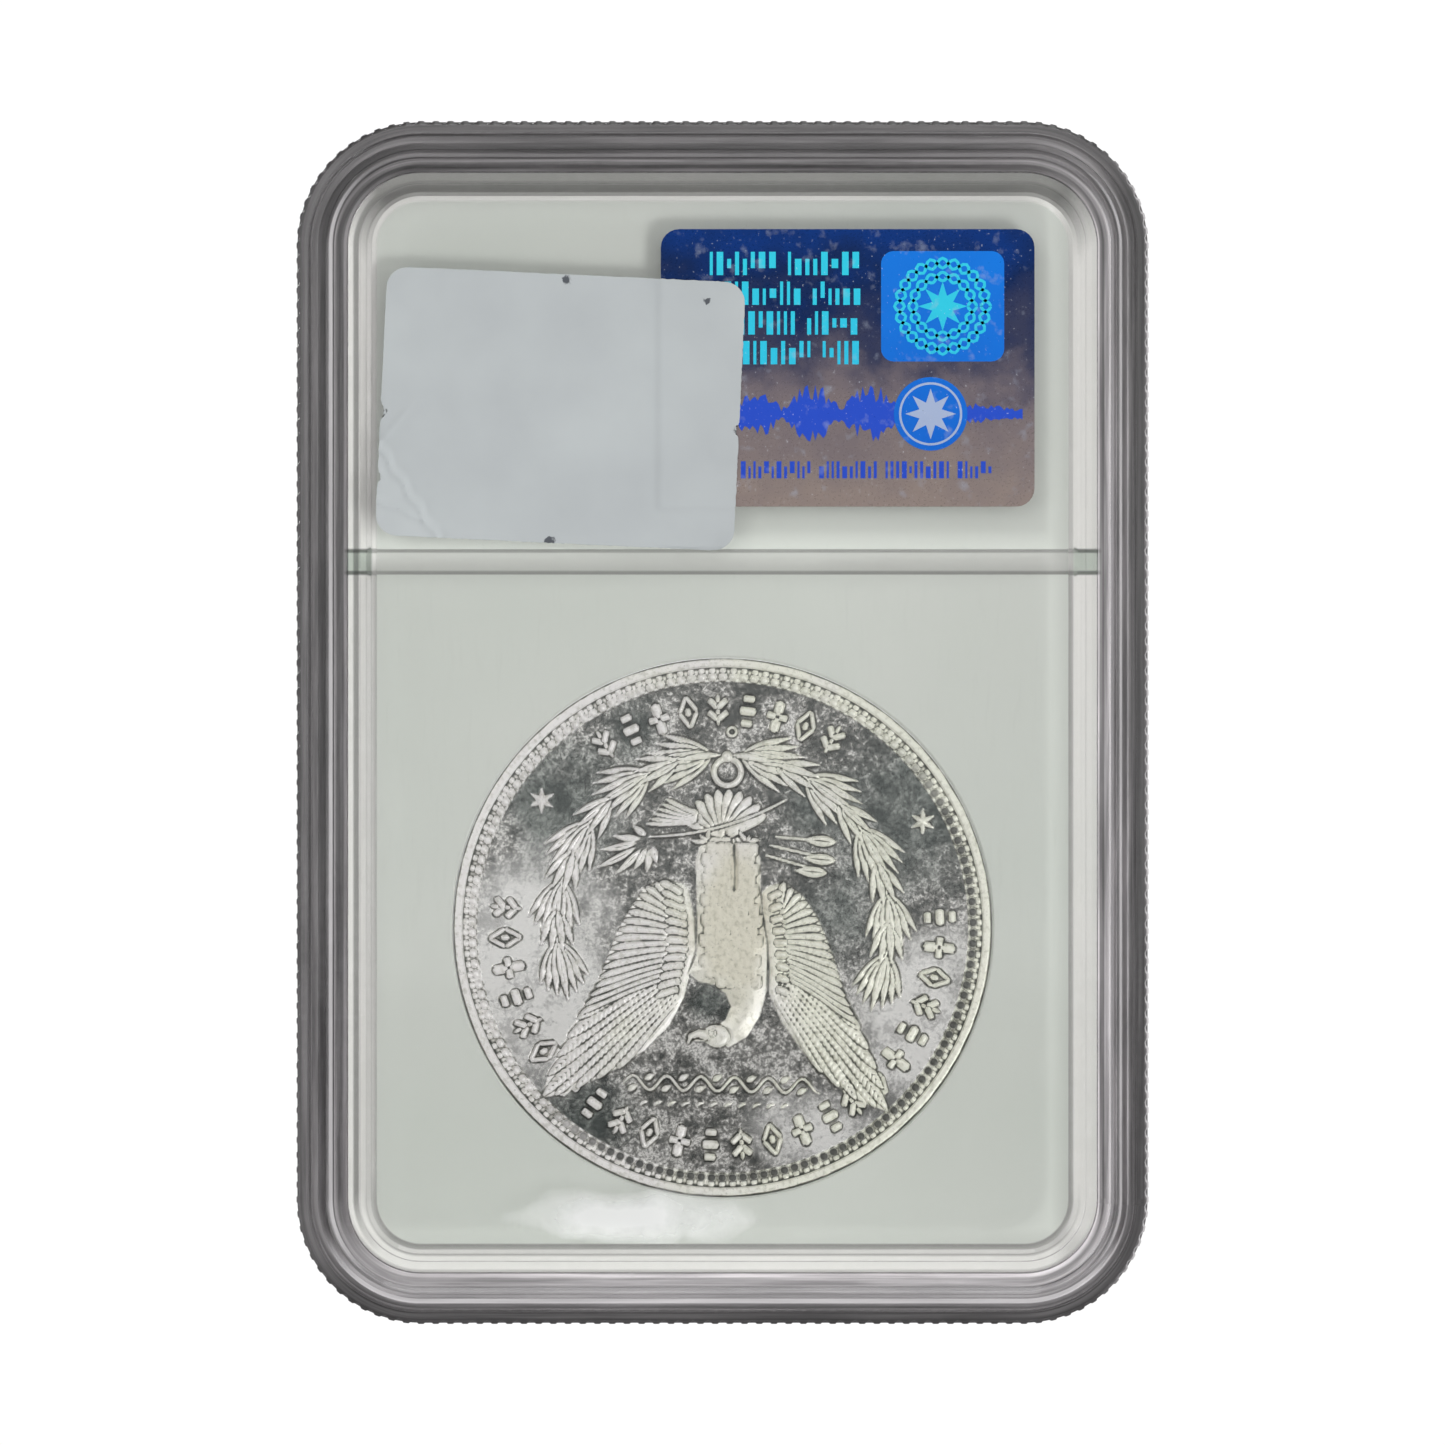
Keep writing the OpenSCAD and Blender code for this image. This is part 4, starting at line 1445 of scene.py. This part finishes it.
def build_label():
    """The paper label read from the front: a border, a coloured panel and rows of plain bars."""
    low, high = node_box("grading_label")
    h = high[1]
    cx, cz = (low[0] + high[0]) / 2, (low[2] + high[2]) / 2
    w, tall = high[0] - low[0], high[2] - low[2]
    rng = np.random.default_rng(SEED + 1)
    sheet = prisms("label_sheet", [rounded_outline(cx, cz, w, tall, 1.0)], low[1], h, 1,
                   paper("label_stock", (0.86, 0.86, 0.82), (0.80, 0.80, 0.76)))
    top = cz + tall / 2
    bottom = cz - tall / 2
    right = cx - w / 2
    left = cx + w / 2
    navy = ink("label_navy_ink", (0.03, 0.06, 0.18))
    grey = ink("label_grey_ink", (0.16, 0.17, 0.19))
    gold = ink("label_gold_ink", (0.45, 0.33, 0.10))
    frame_bars = [box_outline(right + 1, top - 1.5, left - 1, top - 1.0),
                  box_outline(right + 1, bottom + 1.0, left - 1, bottom + 1.5)]
    frame_bars += [box_outline(x, bottom + 1.5, x + 0.5, top - 1.5) for x in (right + 1, left - 1.5)]
    rosette = rosettes((left - 8.5, cz), ((4.6, 0.6, 12), (3.2, 0.5, 9)), 0.13)
    rosette.append(star_outline(left - 8.5, cz, 8, 2.3, 1.1))
    words = print_rows(rng, right + 14.5, left - 16.0, cz - 1.0, cz + 7.4, 3, 0.8, 0.55)
    codes = [box_outline(x, bottom + 2.6, x + rng.choice([0.18, 0.36]), bottom + 6.6)
             for x in np.arange(right + 14.5, left - 16.0, 0.62)]
    block = [rounded_outline(right + 7.6, cz, 10.0, tall - 5.0, 0.8)]
    block_print = print_rows(rng, right + 4.2, right + 11.0, cz - 4.5, cz + 4.5, 3, 1.0, 0.6)
    made = [sheet] + print_layers((
        ("label_frame", frame_bars, 1, navy), ("label_rosette", rosette, 1, gold),
        ("label_rows", words, 1, grey), ("label_ticks", codes, 1, grey), ("label_panel", block, 1, navy),
        ("label_panel_rows", block_print, 2, gold),
    ), h, 1)
    for obj in made:
        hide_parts("grading_label")


build_seal()
build_sticker()
build_label()


# ---------------------------------------------------------------- stage, light and camera

# From here on, lengths are in metres.
STAGE_GREY = 0.28
WORLD_LOW = 0.08
WORLD_HIGH = 1.2
KEY_POWER = 3.0
FILL_POWER = 1.4
TOP_POWER = 1.2
FRONT_POWER = 5.0
VIEW_PER_SLAB = 1.696


def aim(obj, target):
    """Turns a lamp or camera to look at a place."""
    obj.rotation_euler = (Vector(target) - obj.location).to_track_quat("-Z", "Y").to_euler()


def add_light(name, place, target, size, power):
    lamp = bpy.data.lights.new(name, "AREA")
    lamp.shape = "DISK"
    lamp.size = size
    lamp.energy = power
    obj = bpy.data.objects.new(name, lamp)
    obj.location = place
    bpy.context.scene.collection.objects.link(obj)
    aim(obj, target)


def stage_white():
    """White to the camera and grey to everything else, so that clear plastic keeps its edges."""
    s = Shader("pale_stage")
    seen = s.node("ShaderNodeLightPath").outputs["Is Camera Ray"]
    strength = s.span(seen, 0, 1, STAGE_GREY, 1.02)
    s.surface(s.node("ShaderNodeEmission", {"Color": (1, 1, 1, 1), "Strength": strength}))
    return s.mat


def build_stage():
    """A pale floor that curves up into a backdrop."""
    reach, bend, high, wide = 1.6, 0.53, 2.3, 2.85
    profile = [(-reach, 0.0), (reach - bend, 0.0)]
    for k in range(1, 13):
        a = k / 12 * math.pi / 2
        profile.append((reach - bend + bend * math.sin(a), bend - bend * math.cos(a)))
    profile.append((reach, high))
    verts = [(x / MM, y / MM, z / MM) for y, z in profile for x in (-wide, wide)]
    faces = [[2 * i, 2 * i + 1, 2 * i + 3, 2 * i + 2] for i in range(len(profile) - 1)]
    floor = make_mesh("pale_floor", verts, faces, [stage_white()])
    floor.visible_shadow = False


def build_world():
    """A soft room: lighter towards the lower right of the slab's back, darker to the upper left."""
    world = bpy.data.worlds.new("studio")
    world.use_nodes = True
    tree = world.node_tree
    coords = tree.nodes.new("ShaderNodeTexCoord")
    toward = tree.nodes.new("ShaderNodeVectorMath")
    toward.operation = "DOT_PRODUCT"
    toward.inputs[1].default_value = (0.55, -0.45, -0.7)
    shade = tree.nodes.new("ShaderNodeMapRange")
    spans = {"From Min": -0.7, "From Max": 0.9, "To Min": WORLD_LOW, "To Max": WORLD_HIGH}
    for name, value in spans.items():
        shade.inputs[name].default_value = value
    tree.links.new(coords.outputs["Generated"], toward.inputs[0])
    tree.links.new(toward.outputs["Value"], shade.inputs["Value"])
    tree.links.new(shade.outputs[0], tree.nodes["Background"].inputs["Strength"])
    tree.nodes["Background"].inputs[0].default_value = (0.985, 1.0, 0.99, 1)
    bpy.context.scene.world = world


def build_lights(middle):
    add_light("key", (0.40, -0.60, -0.25), middle, 0.3, KEY_POWER)
    add_light("fill", (-0.50, -0.70, 0.30), middle, 0.6, FILL_POWER)
    add_light("top", (0.1, -0.30, 0.80), middle, 0.5, TOP_POWER)
    add_light("front", (-0.35, 0.80, 0.40), middle, 0.4, FRONT_POWER)
    build_world()


def build_camera(middle):
    """Straight on to the back face, far enough for the little perspective that is wanted."""
    distance = 1.2
    view_width = VIEW_PER_SLAB * SLAB_W * MM
    cam = bpy.data.cameras.new("camera")
    cam.sensor_width = 36
    cam.lens = cam.sensor_width * (distance - RIB_TOP * MM) / view_width
    cam.clip_start = 0.01
    obj = bpy.data.objects.new("camera", cam)
    obj.location = (0, -distance, middle[2])
    bpy.context.scene.collection.objects.link(obj)
    aim(obj, middle)
    bpy.context.scene.camera = obj


slab_middle = (0.0, 0.0, SLAB_H / 2 * MM)
build_stage()
build_lights(slab_middle)
build_camera(slab_middle)
bpy.context.scene.view_settings.view_transform = "Standard"
